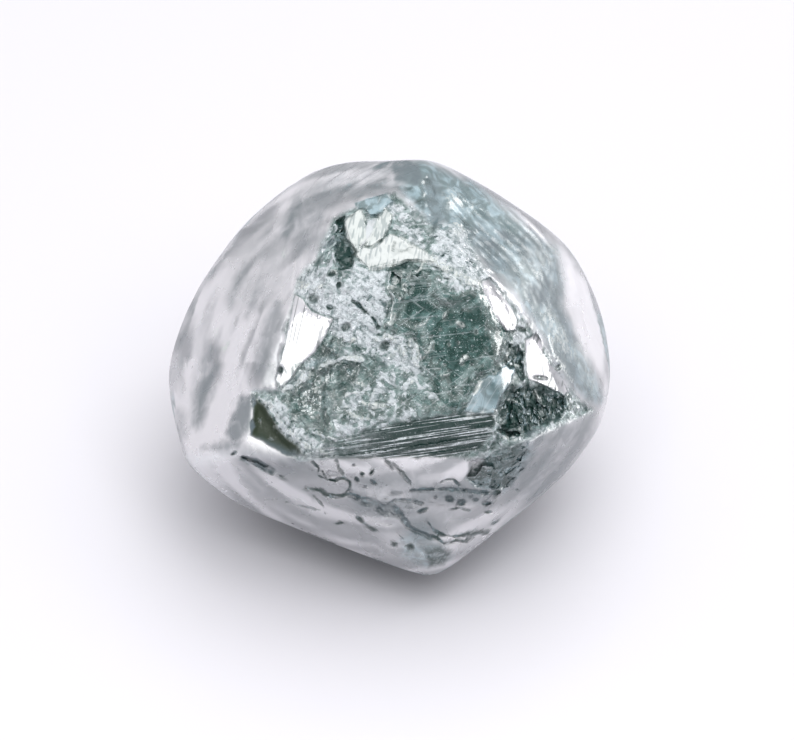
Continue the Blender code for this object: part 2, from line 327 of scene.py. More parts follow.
HIGHLIGHTED_BUMPS: tuple[Outline, ...] = (
    outline(82, 265, 95, 281, 114, 277, 123, 258, 110, 239, 91, 242),
    outline(95, 207, 101, 223, 117, 223, 130, 207, 120, 188, 101, 188),
)
RIMS: tuple[Outline, ...] = (
    outline(-160, -44, -140, -35, -125, -20, -110, -7, -95, -5, -85, 1, -70, 6, -42, 5),
    outline(-16, 34, 6, 38, 30, 44, 48, 18, 43, 0, 62, -17, 95, -20),
    outline(62, 160, 90, 142, 115, 128, 150, 118),
    outline(-186, -62, -160, -98, -140, -122, -112, -138, -90, -145),
    outline(-152, -80, -130, -102, -105, -112, -80, -120),
    outline(-60, -48, -40, -46, -22, -48),
    outline(130, -80, 150, -81, 168, -80),
)
# Each row is a glint's width, and then the points that it runs through, in hundredths of a millimetre
GLINTS: tuple[Crack, ...] = tuple(Crack(outline(*line), width / 100.0) for width, *line in (
    (9, 6, 62, 10, 74), (10, 8, 118, 20, 132, 26, 138), (7, 28, 120, 38, 140), (8, 22, 98, 28, 112),
    (5, 44, 140, 52, 144, 57, 156), (6, 56, 10, 66, 20, 72, 30), (4, 46, 56, 56, 58, 66, 68),
    (6, 85, -21, 95, -19), (4, 90, 72, 97, 80), (4, 112, 62, 118, 58), (5, 118, 2, 124, 8),
    (5, 8, 10, 16, 18), (5, -66, 36, -58, 32, -50, 36), (6, -84, 142, -78, 140), (7, 202, -4, 208, -10),
    (9, 192, -32, 200, -40), (7, 190, -60, 202, -62), (8, 230, -45, 242, -58), (7, 185, -116, 200, -120),
    (4, -194, -64, -184, -62), (5, -178, -100, -172, -101), (5, 146, -30, 138, -48),
    (10, -46, -30, -36, -36), (3, 182, 0, 190, 14, 197, 28),
    (12, 72, 162, 90, 147, 110, 137, 130, 127, 146, 124), (9, 0, 40, 12, 36, 20, 25, 27, 14),
    (12, -134, 122, -126, 118), (8, -110, 114, -102, 120), (7, -40, -62, -20, -68, 2, -66),
    (6, -62, -70, -50, -84, -30, -88), (5, 30, -34, 42, -30), (5, 270, 2, 280, -10, 292, -30),
    (5, 258, 42, 262, 22, 268, 8),
))
# Each row is a patch's share and border, in hundredths, and then its outline
PATCH_ROWS: dict[Zone, tuple[tuple[int, ...], ...]] = {
    # Painted shade on facets of the front and on the lower faces, with some dull grey tone
    Zone.DUSKY: (
        (85, 5, 10, 322, 30, 322, 52, 308, 57, 293, 50, 280, 33, 280, 15, 288, 8, 302),
        (90, 5, -20, 303, -12, 314, 3, 325, 10, 322, -2, 308),
        (75, 12, -140, 266, -128, 255, -140, 220, -156, 192, -166, 200, -155, 235),
        (60, 8, -125, 217, -105, 234, -92, 232, -110, 214),
        (35, 20, -120, 195, -95, 220, -80, 190, -95, 165, -125, 160),
        (
            70, 12, -268, 4, -262, -5, -270, -28, -280, -55, -290, -85, -297, -105, -304, -95, -304, -55,
            -300, -32, -285, -15,
        ),
        (50, 14, -228, 162, -215, 155, -230, 115, -245, 85, -250, 105),
        (50, 10, -202, 132, -188, 122, -205, 90, -220, 72, -215, 100),
        (50, 16, -280, 30, -265, 20, -285, -25, -298, -20),
        (
            45, 10, -174, 102, -162, 95, -161, 60, -166, 10, -174, -30, -190, -45, -206, -10, -200, 40,
            -186, 80,
        ),
        (65, 6, -230, -55, -208, -50, -212, -116, -242, -125, -252, -110),
        (50, 8, -290, -134, -250, -124, -220, -120, -230, -136, -260, -142),
        (30, 14, -230, -125, -200, -120, -120, -150, -100, -175, -170, -180, -230, -162),
        (45, 14, -332, -75, -320, -80, -320, -115, -332, -110),
        (75, 12, 220, 120, 250, 136, 270, 132, 276, 98, 298, 36, 288, 34, 268, 74, 244, 90, 224, 100),
        (55, 10, 185, 202, 220, 202, 255, 188, 272, 155, 268, 130, 238, 145, 210, 160),
        (85, 5, 155, 186, 166, 200, 178, 186, 174, 176, 162, 178),
        (85, 6, 172, 209, 192, 202, 202, 190, 184, 193),
        (45, 12, 58, 295, 80, 298, 92, 260, 95, 220, 78, 200, 66, 240),
        (35, 15, 260, 40, 305, -15, 325, -60, 305, -60, 275, -5),
        (45, 20, 110, 195, 150, 220, 200, 160, 220, 120, 190, 120, 150, 165),
        (35, 15, -90, 275, -40, 305, 30, 325, 50, 285, 10, 270, -50, 255),
        (22, 35, -250, 180, -190, 240, -140, 160, -180, 80, -240, 90),
        (35, 12, -45, -180, 60, -180, 70, -220, 40, -230, -40, -215),
        (45, 15, 275, 70, 310, 0, 330, -55, 305, -50, 270, 10),
        (38, 20, -155, 205, -130, 275, -70, 305, -55, 270, -95, 235, -115, 175, -145, 160),
        (50, 20, 230, -110, 330, -80, 320, -140, 240, -220, 190, -220, 210, -170),
        (50, 20, -55, -205, 30, -210, 80, -260, 60, -280, 10, -250, -50, -230),
        (50, 12, 40, -190, 100, -185, 170, -200, 165, -222, 100, -220, 50, -202),
    ),
    # Painted shade in the chip, the slot and other hollows of the break
    Zone.DARK: (
        (45, 6, -75, 260, -60, 284, -42, 293, -44, 284, -62, 270),
        (50, 5, -28, 278, -15, 288, 2, 293, 0, 280, -12, 272, -25, 272),
        (55, 4, 12, 278, 40, 277, 42, 269, 16, 270), (35, 5, -52, 262, -25, 268, -25, 263, -50, 255),
        (55, 5, 40, 257, 62, 257, 61, 238, 50, 242),
        (45, 6, 105, 227, 115, 233, 130, 217, 142, 198, 128, 195, 120, 212, 112, 224),
        (48, 8, 130, -160, 160, -145, 200, -135, 215, -150, 195, -190, 160, -200, 135, -185),
        (60, 3, -106, -12, -85, -2, -70, 3, -82, -8, -98, -22),
        (40, 6, -66, 2, -40, 2, -36, -8, -48, -36, -60, -30),
        (50, 4, -104, 13, -95, 30, -85, 24, -76, 10, -90, 8),
        (45, 5, -125, -48, -105, -40, -100, -55, -120, -62), (40, 5, 0, 140, 28, 144, 20, 130, 4, 126),
        (40, 8, 160, 30, 180, 32, 178, 12, 162, 8), (40, 5, 95, -70, 110, -62, 118, -78, 100, -80),
        (55, 5, 60, -295, 85, -290, 102, -300, 90, -318, 66, -324),
    ),
    # Painted highlights: the low end of the left pane, a band on the right, and small bright spots
    Zone.PALE: (
        (90, 2, -171, -36, -160, -36, -146, -22, -132, -4, -136, 10, -150, 0, -160, -8),
        (55, 7, 242, 80, 255, 84, 275, 60, 298, 22, 300, 5, 285, 5, 262, 38, 245, 66),
        (35, 12, 305, 20, 320, -5, 334, -35, 330, -55, 312, -25),
        (60, 5, 124, 242, 136, 250, 140, 242, 130, 236),
        (90, 4, 105, 220, 112, 224, 120, 219, 116, 212, 107, 214),
        (80, 4, -274, 50, -266, 54, -266, 40, -274, 38), (80, 4, -256, 32, -248, 34, -250, 20, -258, 20),
        (80, 3, -166, 176, -160, 180, -156, 173, -162, 170),
        (70, 3, -178, 157, -171, 159, -170, 151, -177, 150),
        (80, 3, -76, 186, -70, 190, -68, 182, -75, 181),
    ),
    Zone.TEAL: (
        (90, 3, -164, -36, -145, -24, -125, -2, -106, 8, -88, 6, -102, -3, -122, -12, -140, -31, -156, -42),
        (70, 5, -60, 110, -10, 105, -2, 80, -30, 88, -50, 94),
        (
            85, 8, 150, -142, 180, -133, 225, -120, 228, -142, 210, -172, 185, -202, 150, -202, 135, -190,
            162, -170,
        ),
        (60, 12, 20, -280, 55, -260, 85, -285, 100, -305, 60, -325, 25, -305),
    ),
    # Painted light along the left and right limbs
    Zone.STREAKED: (
        (
            95, 10, -215, 95, -200, 75, -225, 20, -235, -20, -245, -50, -255, -85, -275, -115, -295, -130,
            -290, -100, -272, -60, -260, -10, -250, 25, -235, 70, -220, 120,
        ),
        (95, 15, 275, 180, 295, 90, 315, 25, 340, -20, 350, 30, 320, 130),
    ),
}
PATCHES: tuple[Patch, ...] = tuple(
    Patch(zone, share / 100.0, border / 100.0, outline(*corners))
    for zone, rows in PATCH_ROWS.items() for share, border, *corners in rows
)
ETCHED_EDGE: Outline = outline(
    -109, -152, -66, -168, -23, -193, 21, -196, 95, -196, 180, -203, 180, -228, 104, -227, 53, -219,
    29, -250, 72, -295, 69, -324, 41, -314, 15, -263, -33, -234, -80, -190, -118, -171,
)
FINE_FRONT: Outline = outline(
    -230, -40, -185, 40, -130, 160, -90, 250, 10, 285, 80, 275, 140, 210, 240, 70, 300, -20, 345, -80,
    240, -150, 220, -200, 180, -240, 160, -280, 80, -295, -40, -270, -130, -225, -230, -160,
)
HOLLOWS: dict[Side, dict[str, Hollow]] = {
    Side.FRONT: {
        "bowl": Hollow(WINDOW, 0.08, 0.35, 0.0),
        "glint_corner": Hollow(outline(9, 160, 61, 160, 53, 123, 21, 95, 2, 115), 0.02, 0.06, 0.0, 0.9),
        "glint_middle": Hollow(outline(45, 30, 72, 30, 68, 2, 47, 5), 0.02, 0.05, 0.0, 0.9),
        "arch": Hollow(CLEAR_LOBES[0], 0.08, 0.14, 0.0, 0.2),
        "olive_corner": Hollow(outline(
            -211, -50, -217, -117, -198, -123, -157, -150, -125, -146, -138, -128, -160, -110, -176, -86,
            -192, -66,
        ), 0.09, 0.14, 0.95),
        "right_chip": Hollow(outline(
            171, -66, 190, -34, 219, -28, 254, -37, 285, -53, 295, -76, 263, -98, 225, -117, 190, -130,
            168, -110,
        ), 0.22, 0.14, splinters=1.3),
        "right_fringe": Hollow(outline(
            126, -152, 155, -142, 180, -133, 225, -120, 228, -142, 219, -171, 193, -200, 171, -209,
            145, -203, 120, -184,
        ), 0.1, 0.1, 0.6, 1.0),
        "crown_channel": Hollow(outline(
            -80, 223, -66, 228, -58, 195, -46, 169, -52, 147, -74, 140, -84, 169,
        ), 0.14, 0.07, splinters=0.6),
        "summit_channel": Hollow(outline(
            50, 290, 69, 303, 85, 271, 92, 236, 80, 198, 66, 201, 53, 246,
        ), 0.1, 0.16, 0.5),
        "dark_slot": Hollow(outline(
            185, 36, 206, 28, 215, 17, 219, -25, 212, -34, 200, -9, 190, -15, 177, 1,
        ), 0.14, 0.07, 0.9, 0.5),
        "left_gash": Hollow(outline(
            -227, -150, -204, -152, -184, -166, -195, -169, -217, -158,
        ), 0.08, 0.04, 0.8),
        "curved_chip": Hollow(outline(
            155, -147, 161, -123, 177, -109, 180, -123, 176, -139,
        ), 0.06, 0.08, 0.6),
    },
    Side.BACK: {
        "edge_chip": Hollow(outline(
            -230, 10, -145, 45, -110, 110, -175, 135, -245, 80,
        ), 0.16, 0.22, splinters=0.5),
        "low_chip": Hollow(outline(90, -130, 170, -105, 185, -175, 120, -195), 0.14, 0.16, splinters=0.5),
        "large_growth_pit": Hollow(outline(5, 30, 95, 42, 40, 115), 0.1, 0.25),
        "small_growth_pit": Hollow(outline(-75, -85, -30, -80, -56, -42), 0.06, 0.14),
        "upper_growth_pit": Hollow(outline(130, 140, 172, 144, 148, 180), 0.06, 0.14),
    },
}
# Each row is a pit's place across and up, length, width, turn in degrees and depth, the rest in hundredths
PITS: tuple[Pit, ...] = tuple(
    Pit(across / 100.0, up / 100.0, length / 100.0, width / 100.0, turn, depth / 100.0)
    for across, up, length, width, turn, depth in (
        (-240, -143, 15, 6, 30, 5), (-165, -181, 9, 4, -15, 5), (-46, -182, 10, 6, -50, 5),
        (-38, -174, 9, 8, 0, 5), (-22, -170, 14, 5, 50, 5), (-20, -186, 16, 6, -30, 5),
        (-51, -159, 6, 4, 0, 5), (-74, -253, 20, 5, 5, 3), (99, -214, 16, 10, -20, 7),
        (118, -220, 17, 11, 10, 7), (140, -216, 12, 6, 5, 5), (158, -222, 18, 6, 5, 5),
        (172, -208, 16, 7, 60, 5), (57, -231, 18, 6, 20, 5), (160, -235, 14, 5, 0, 5),
        (170, -253, 16, 6, 20, 3), (13, -286, 12, 9, 0, 5), (38, -290, 15, 12, 0, 5),
        (205, -200, 7, 5, 0, 5), (-115, 100, 20, 17, 0, 7), (-63, 55, 18, 14, 30, 6),
        (-3, 25, 20, 16, 20, 6), (-88, 86, 11, 9, 0, 3), (-164, -12, 12, 8, 80, 5),
        (241, -24, 27, 8, -5, 5), (-85, 138, 15, 10, 20, 5), (-74, 120, 12, 8, 60, 5),
        (270, -8, 12, 10, 40, 5), (210, 52, 20, 8, -15, 5), (-86, 188, 16, 9, 40, 5),
    )
)
# Each row is a crack's width and depth in thousandths, and then the points that it runs through
CRACKS: tuple[Crack, ...] = tuple(
    Crack(outline(*line), width / 1000.0, depth / 1000.0) for width, depth, *line in (
        (100, 70, -226, -151, -206, -157, -192, -165, -180, -172),
        (50, 40, -100, -170, -93, -183, -80, -185, -67, -180, -58, -186, -57, -196, -63, -203),
        (60, 40, -126, -198, -105, -200, -95, -208, -80, -211, -62, -205, -50, -208, -35, -215),
        (130, 70, -35, -215, -20, -219, -5, -227, 12, -229, 20, -236),
        (40, 40, 5, -220, 12, -214, 28, -213, 42, -215, 55, -220),
        (80, 60, 14, -228, 23, -242, 33, -254, 46, -263, 58, -267, 70, -274),
        (55, 40, 64, -248, 72, -260, 86, -269, 100, -273, 120, -272, 135, -269, 160, -270),
        (45, 40, 76, -274, 90, -283, 108, -280, 125, -282, 134, -274),
        (80, 40, -43, -245, -32, -255, -20, -263), (35, 40, 12, -160, 25, -172, 36, -186, 43, -198),
        (40, 40, -2, -150, 10, -166),
        (50, 40, 38, -199, 75, -198, 90, -197, 110, -199, 130, -202, 155, -205, 176, -204),
        (45, 40, 78, -192, 90, -184, 104, -182, 114, -192), (30, 20, -114, -208, -102, -222, -96, -238),
        (30, 20, -158, -220, -130, -227, -105, -233),
        (50, 40, -115, -156, -105, -166, -108, -176, -92, -184), (40, 40, -78, -152, -74, -166, -66, -178),
        (40, 20, 98, -230, 115, -228, 130, -232), (70, 40, -50, 94, -40, 87, -32, 79),
        (30, 20, -32, 79, -22, 70), (60, 40, -22, 70, -16, 62, -13, 56), (25, 10, -30, 170, -15, 164),
        (25, 10, -24, 149, -5, 153, 18, 156), (25, 10, 12, 187, 10, 175, 25, 173, 41, 179),
        (50, 30, -20, 142, 5, 145, 30, 149), (25, 20, 33, 156, 56, 157, 48, 142, 33, 156),
    )
)
GROOVED_FACES: dict[str, Grooves] = {
    "striped_left": Grooves("bright_left", 0.16, 0.006),
    "far_left": Grooves("bright_left", 0.40, 0.018),
    "upper_left": Grooves("crown", 0.24, 0.012),
    "upper_far_left": Grooves("striped_left", 0.60, 0.030),
    "summit": Grooves("crown", 0.40, 0.030),
    "upper_right": Grooves("broken_front", 0.20, 0.008),
    "teal_right": Grooves("bright_right", 0.18, 0.007),
    "far_right": Grooves("bright_right", 0.40, 0.012),
    "back_left": Grooves("left_shoulder", 0.70, 0.030),
    "back_low": Grooves("back_left", 0.80, 0.030),
    "right_shoulder": Grooves("back_right", 0.60, 0.025),
}


class Pattern:
    """Steady noise and outlines, worked out for many points at once."""

    @staticmethod
    def step(value: Array, low: float, high: float) -> Array:
        """0 below low, 1 above high, and an S between them."""
        share = np.clip((value - low) / (high - low), 0.0, 1.0)
        return share * share * (3.0 - 2.0 * share)

    @staticmethod
    def random(corner: Array, salt: int) -> Array:
        """Steady random numbers.

        Args:
            corner: Whole-numbered corners, one row each.
            salt: Chooses one set of numbers among many.

        Returns:
            One number from 0 to 1 for each corner.
        """
        mixed = corner[:, 0] * 73856093 ^ corner[:, 1] * 19349663 ^ corner[:, 2] * 83492791
        mixed = (mixed ^ salt * 2654435761) & 0xFFFFFFFF
        mixed = (mixed ^ mixed >> 16) * 0x45D9F3B & 0xFFFFFFFF
        mixed = (mixed ^ mixed >> 16) * 0x45D9F3B & 0xFFFFFFFF
        return (mixed ^ mixed >> 16) / 0xFFFFFFFF

    @classmethod
    def swelling(cls, points: Array, size: float, salt: int) -> Array:
        """Smooth noise from -1 to 1.

        Args:
            points: Places, in millimetres, one row each.
            size: Width of a lump.
            salt: Chooses one noise among many.

        Returns:
            One height for each place.
        """
        scaled = points / size
        corner = np.floor(scaled).astype(np.int64)
        share = scaled - corner
        share = share * share * (3.0 - 2.0 * share)
        total = np.zeros(len(points))
        for offset in itertools.product((0, 1), repeat=3):
            weight = np.prod(np.where(offset, share, 1.0 - share), axis=1)
            total += weight * cls.random(corner + offset, salt)
        return 2.0 * total - 1.0

    @classmethod
    def shards(cls, points: Array, size: float, salt: int) -> Array:
        """Heights of flat tilted shards, as a share of their size.

        Args:
            points: Places, in millimetres, one row each.
            size: Width of a shard.
            salt: Chooses one pattern among many.

        Returns:
            One height for each place.
        """
        scaled = points / size
        corner = np.floor(scaled).astype(np.int64)
        nearest = np.full(len(points), np.inf)
        height = np.zeros(len(points))
        for offset in itertools.product((-1, 0, 1), repeat=3):
            cell = corner + offset
            middle = np.stack([cls.random(cell, salt + axis) for axis in range(3)], axis=1)
            away = scaled - cell - middle
            tilt = np.stack([cls.random(cell, salt + 3 + axis) for axis in range(3)], axis=1) - 0.5
            level = cls.random(cell, salt + 6) - 0.5 + (away * tilt).sum(axis=1)
            distance = (away * away).sum(axis=1)
            height = np.where(distance < nearest, level, height)
            nearest = np.minimum(nearest, distance)
        return height

    @classmethod
    def depth_inside(cls, across: Array, up: Array, corners: Outline) -> Array:
        """Distance inside an outline, in millimetres, and below zero outside it.

        Args:
            across: Places across the outline's side.
            up: Places up the outline's side.
            corners: Corners of the closed outline.

        Returns:
            One distance for each place.
        """
        closed = corners + corners[:1]
        inside = np.zeros(len(across), dtype=bool)
        for (x0, y0), (x1, y1) in zip(closed, closed[1:]):
            if y1 != y0:
                crosses = (y0 > up) != (y1 > up)
                inside ^= crosses & (across < x0 + (x1 - x0) * (up - y0) / (y1 - y0))
        closest = cls.beside(across, up, closed)
        return np.where(inside, closest, -closest)

    @staticmethod
    def beside(across: Array, up: Array, line: Outline) -> Array:
        """Distance from an open line, in millimetres.

        Args:
            across: Places across the line's side.
            up: Places up the line's side.
            line: Points that the line runs through.

        Returns:
            One distance for each place.
        """
        closest = np.full(len(across), np.inf)
        for (x0, y0), (x1, y1) in zip(line, line[1:]):
            run, rise = x1 - x0, y1 - y0
            share = ((across - x0) * run + (up - y0) * rise) / (run * run + rise * rise)
            share = np.clip(share, 0.0, 1.0)
            closest = np.minimum(closest, np.hypot(across - x0 - share * run, up - y0 - share * rise))
        return closest

    @staticmethod
    def most(shares: Iterable[Array]) -> Array:
        """Greatest of several shares at each point."""
        return functools.reduce(np.maximum, shares)


class Lump(Enum):
    """Smooth noises of the skin: width of a lump in millimetres, and the salt that chooses it."""

    WANDER = (0.16, 3)
    FINE_WANDER = (0.06, 4)
    RING = (0.24, 91)
    FINE_RING = (0.09, 92)
    STREAK = (0.13, 91)
    FINE_STREAK = (0.05, 92)
    HEAVE = (0.45, 2)
    DENT = (0.20, 6)
    WAVE = (0.6, 71)
    FLECK = (0.07, 73)
    WINDOW_SWELL = (0.30, 74)
    ETCHED_HOLE = (0.11, 83)
    FROST_GRAIN = (0.055, 21)
    FINE_FROST_GRAIN = (0.028, 22)
    FROST_LUMP = (0.19, 23)
    SUGAR_GRAIN = (0.12, 24)
    FROST_CLUMP = (0.10, 25)
    GROWTH = (1.7, 31)
    UNEVENNESS = (0.42, 32)
    FINE_UNEVENNESS = (0.15, 33)
    GROOVE_BEND = (1.2, 40)
    GROOVE_FADE = (0.8, 55)
    CLOUD = (0.85, 95)
    SMALL_CLOUD = (0.30, 96)
    HIDDEN_STREAK = (0.40, 97)

    def over(self, points: Array, turn: int = 0) -> Array:
        """This noise at some points; each turn gives another of its kind."""
        return Pattern.swelling(points, self.value[0], self.value[1] + turn)


class Shard(Enum):
    """Patterns of tilted shards: width of a shard in millimetres, and the salt that chooses it."""

    COARSE = (0.26, 5)
    MIDDLE = (0.12, 16)
    FINE = (0.06, 27)
    SPLINTER = (0.24, 60)
    FINE_SPLINTER = (0.09, 90)
    ETCHED = (0.16, 81)
    FINE_ETCHED = (0.07, 82)

    def over(self, points: Array) -> Array:
        """This pattern's heights at some points."""
        return Pattern.shards(points, *self.value)


class Skin:
    """Reads and moves the points of a mesh object as arrays."""

    @staticmethod
    def read(stone: bpy.types.Object) -> tuple[Array, Array]:
        """Reads the points.

        Args:
            stone: The mesh object.

        Returns:
            The points' places and normals, one row each.
        """
        count = len(stone.data.vertices)
        points = np.empty(count * 3)
        stone.data.vertices.foreach_get("co", points)
        normals = np.empty(count * 3, dtype=np.float32)
        stone.data.vertex_normals.foreach_get("vector", normals)
        return points.reshape(count, 3), normals.reshape(count, 3).astype(float)

    @staticmethod
    def write(stone: bpy.types.Object, points: Array) -> None:
        """Moves the points to new places."""
        stone.data.vertices.foreach_set("co", points.ravel())
        stone.data.update()

    @staticmethod
    def smoothed(stone: bpy.types.Object, values: Array, passes: int) -> Array:
        """Averages values with their neighbours' again and again.

        Args:
            stone: The mesh object.
            values: One row for each point.
            passes: How often they are averaged.

        Returns:
            The smoothed values, in rows as before.
        """
        edges = np.empty(len(stone.data.edges) * 2, dtype=np.int32)
        stone.data.edges.foreach_get("vertices", edges)
        first, second = edges.reshape(-1, 2).T
        count = len(values)
        degree = np.bincount(first, minlength=count) + np.bincount(second, minlength=count)
        for _ in range(passes):
            total = np.empty_like(values)
            for column in range(values.shape[1]):
                one_way = np.bincount(first, values[second, column], count)
                total[:, column] = one_way + np.bincount(second, values[first, column], count)
            values = 0.5 * values + 0.5 * total / degree[:, None]
        return values


@dataclass
class Surface:
    """The stone's skin as arrays: its points in millimetres, normals, and place on each side."""

    points: Array
    normals: Array
    across: Array = field(init=False)
    up: Array = field(init=False)
    facing: Array = field(init=False)
    wander: Array = field(init=False)
    nearest: Array = field(init=False)
    within: Array = field(init=False)
    ridge_margin: float = 0.25

    def __post_init__(self) -> None:
        """Works out where each point lies on the front, and on which crystal face."""
        across_axis, up_axis, _ = Side.FRONT.axes()
        self.across = self.points @ across_axis
        self.up = self.points @ up_axis
        self.facing = self.seen_from(Side.FRONT)
        self.wander = 0.030 * Lump.WANDER.over(self.points)
        self.wander += 0.018 * Lump.FINE_WANDER.over(self.points)
        faces = FACES.values()
        nearness = np.stack([self.points @ np.array(face.normal()) - face.distance for face in faces])
        self.nearest = nearness.argmax(axis=0)
        next_best, best = np.sort(nearness, axis=0)[-2:]
        self.within = Pattern.step(best - next_best, 0.0, self.ridge_margin)

    def seen_from(self, side: Side) -> Array:
        """1 where a point faces a side's looker, 0 where it faces away."""
        out_axis = side.axes()[2]
        return Pattern.step(self.normals @ out_axis, 0.02, 0.25) * (self.points @ out_axis > 0.0)

    def reach(self, corners: Outline, low: float, high: float) -> Array:
        """Share from 0 to 1 across a front outline's uneven border, from low to high inside it."""
        inside = Pattern.depth_inside(self.across, self.up, corners) + self.wander
        return Pattern.step(inside, low, high) * self.facing

    def on_face(self, name: str) -> Array:
        """1 on one crystal face, falling to 0 at its ridges."""
        return np.where(self.nearest == list(FACES).index(name), self.within, 0.0)

    def pit_share(self, pit: Pit) -> Array:
        """Share of one etch pit.

        Args:
            pit: Its place, size and turn.

        Returns:
            1 at the pit's middle, falling to 0 at its uneven edge.
        """
        turn = math.radians(pit.turn)
        along = (self.across - pit.across) * math.cos(turn) + (self.up - pit.up) * math.sin(turn)
        aside = (self.up - pit.up) * math.cos(turn) - (self.across - pit.across) * math.sin(turn)
        far = np.hypot(along / (0.5 * pit.length), aside / (0.5 * pit.width))
        return Pattern.step(1.25 - far - 6.0 * self.wander, 0.0, 0.8) * self.facing

    def crack_share(self, crack: Crack) -> Array:
        """1 along a crack, falling to 0 at its uneven edges."""
        far = Pattern.beside(self.across, self.up, crack.line) + 0.8 * self.wander
        return (1.0 - Pattern.step(far, 0.15 * crack.width, 0.75 * crack.width)) * self.facing

    def ringed(self) -> Array:
        """Light and dark streaks that run round the stone as its ridges do, from -1 to 1."""
        radius = np.hypot(self.across, 1.06 * self.up)
        turn = np.arctan2(self.up, self.across)
        place = np.stack([radius, 0.35 * turn, np.zeros(len(turn))], axis=1)
        return Lump.RING.over(place) + 0.8 * Lump.FINE_RING.over(place)

    def groove_place(self, name: str) -> tuple[Array, Array]:
        """Places on a grooved face.

        Args:
            name: The crystal face.

        Returns:
            Places across and along its grooves, in millimetres.
        """
        normal = FACES[name].normal()
        ridge = normal.cross(FACES[GROOVED_FACES[name].neighbour].normal()).normalized()
        return self.points @ np.array(ridge.cross(normal)), self.points @ np.array(ridge)

    def rims(self) -> Array:
        """Share of the raised rims between the scoops of the break, painted frosted white and in part as
        highlight.
        """
        far = (Pattern.beside(self.across, self.up, line) + 2.2 * self.wander for line in RIMS)
        return Pattern.most(1.0 - Pattern.step(away, 0.01, 0.05) for away in far) * self.facing

    def frosted(self) -> Array:
        """Share of sugary frosting, fading out across its borders."""
        return Pattern.most(amount * self.reach(corners, -0.14, 0.14) for amount, corners in FROSTED)

    def pane_share(self, pane: Pane, spread: float = 0.0) -> Array:
        """Share of one smooth pane, whose border is nearly straight.

        Args:
            pane: The pane.
            spread: How much larger it is taken, in millimetres.

        Returns:
            1 in the pane, 0 outside it.
        """
        ragged = 0.9 if pane.pale else 0.35
        inside = Pattern.depth_inside(self.across, self.up, pane.outline) + ragged * self.wander
        return Pattern.step(inside + spread, -0.015, 0.015) * self.facing

    def panes(self, spread: float = 0.0) -> Array:
        """Share of the smooth panes of the break."""
        return Pattern.most(self.pane_share(pane, spread) for pane in PANES.values())

    def broken(self) -> Array:
        """Share of rough breakage, with the smooth panes left out."""
        return self.reach(BROKEN_ZONE, -0.06, 0.06) * (1.0 - self.panes())

    def window(self) -> Array:
        """Share of the smooth, see-through parts of the break."""
        share = self.reach(WINDOW, -0.05, 0.04)
        share = np.maximum(share, 0.7 * self.reach(MOTTLED, -0.10, 0.10))
        lobes = Pattern.most(0.85 * self.reach(corners, -0.06, 0.04) for corners in CLEAR_LOBES)
        return np.maximum(share, lobes) * (1.0 - self.panes())


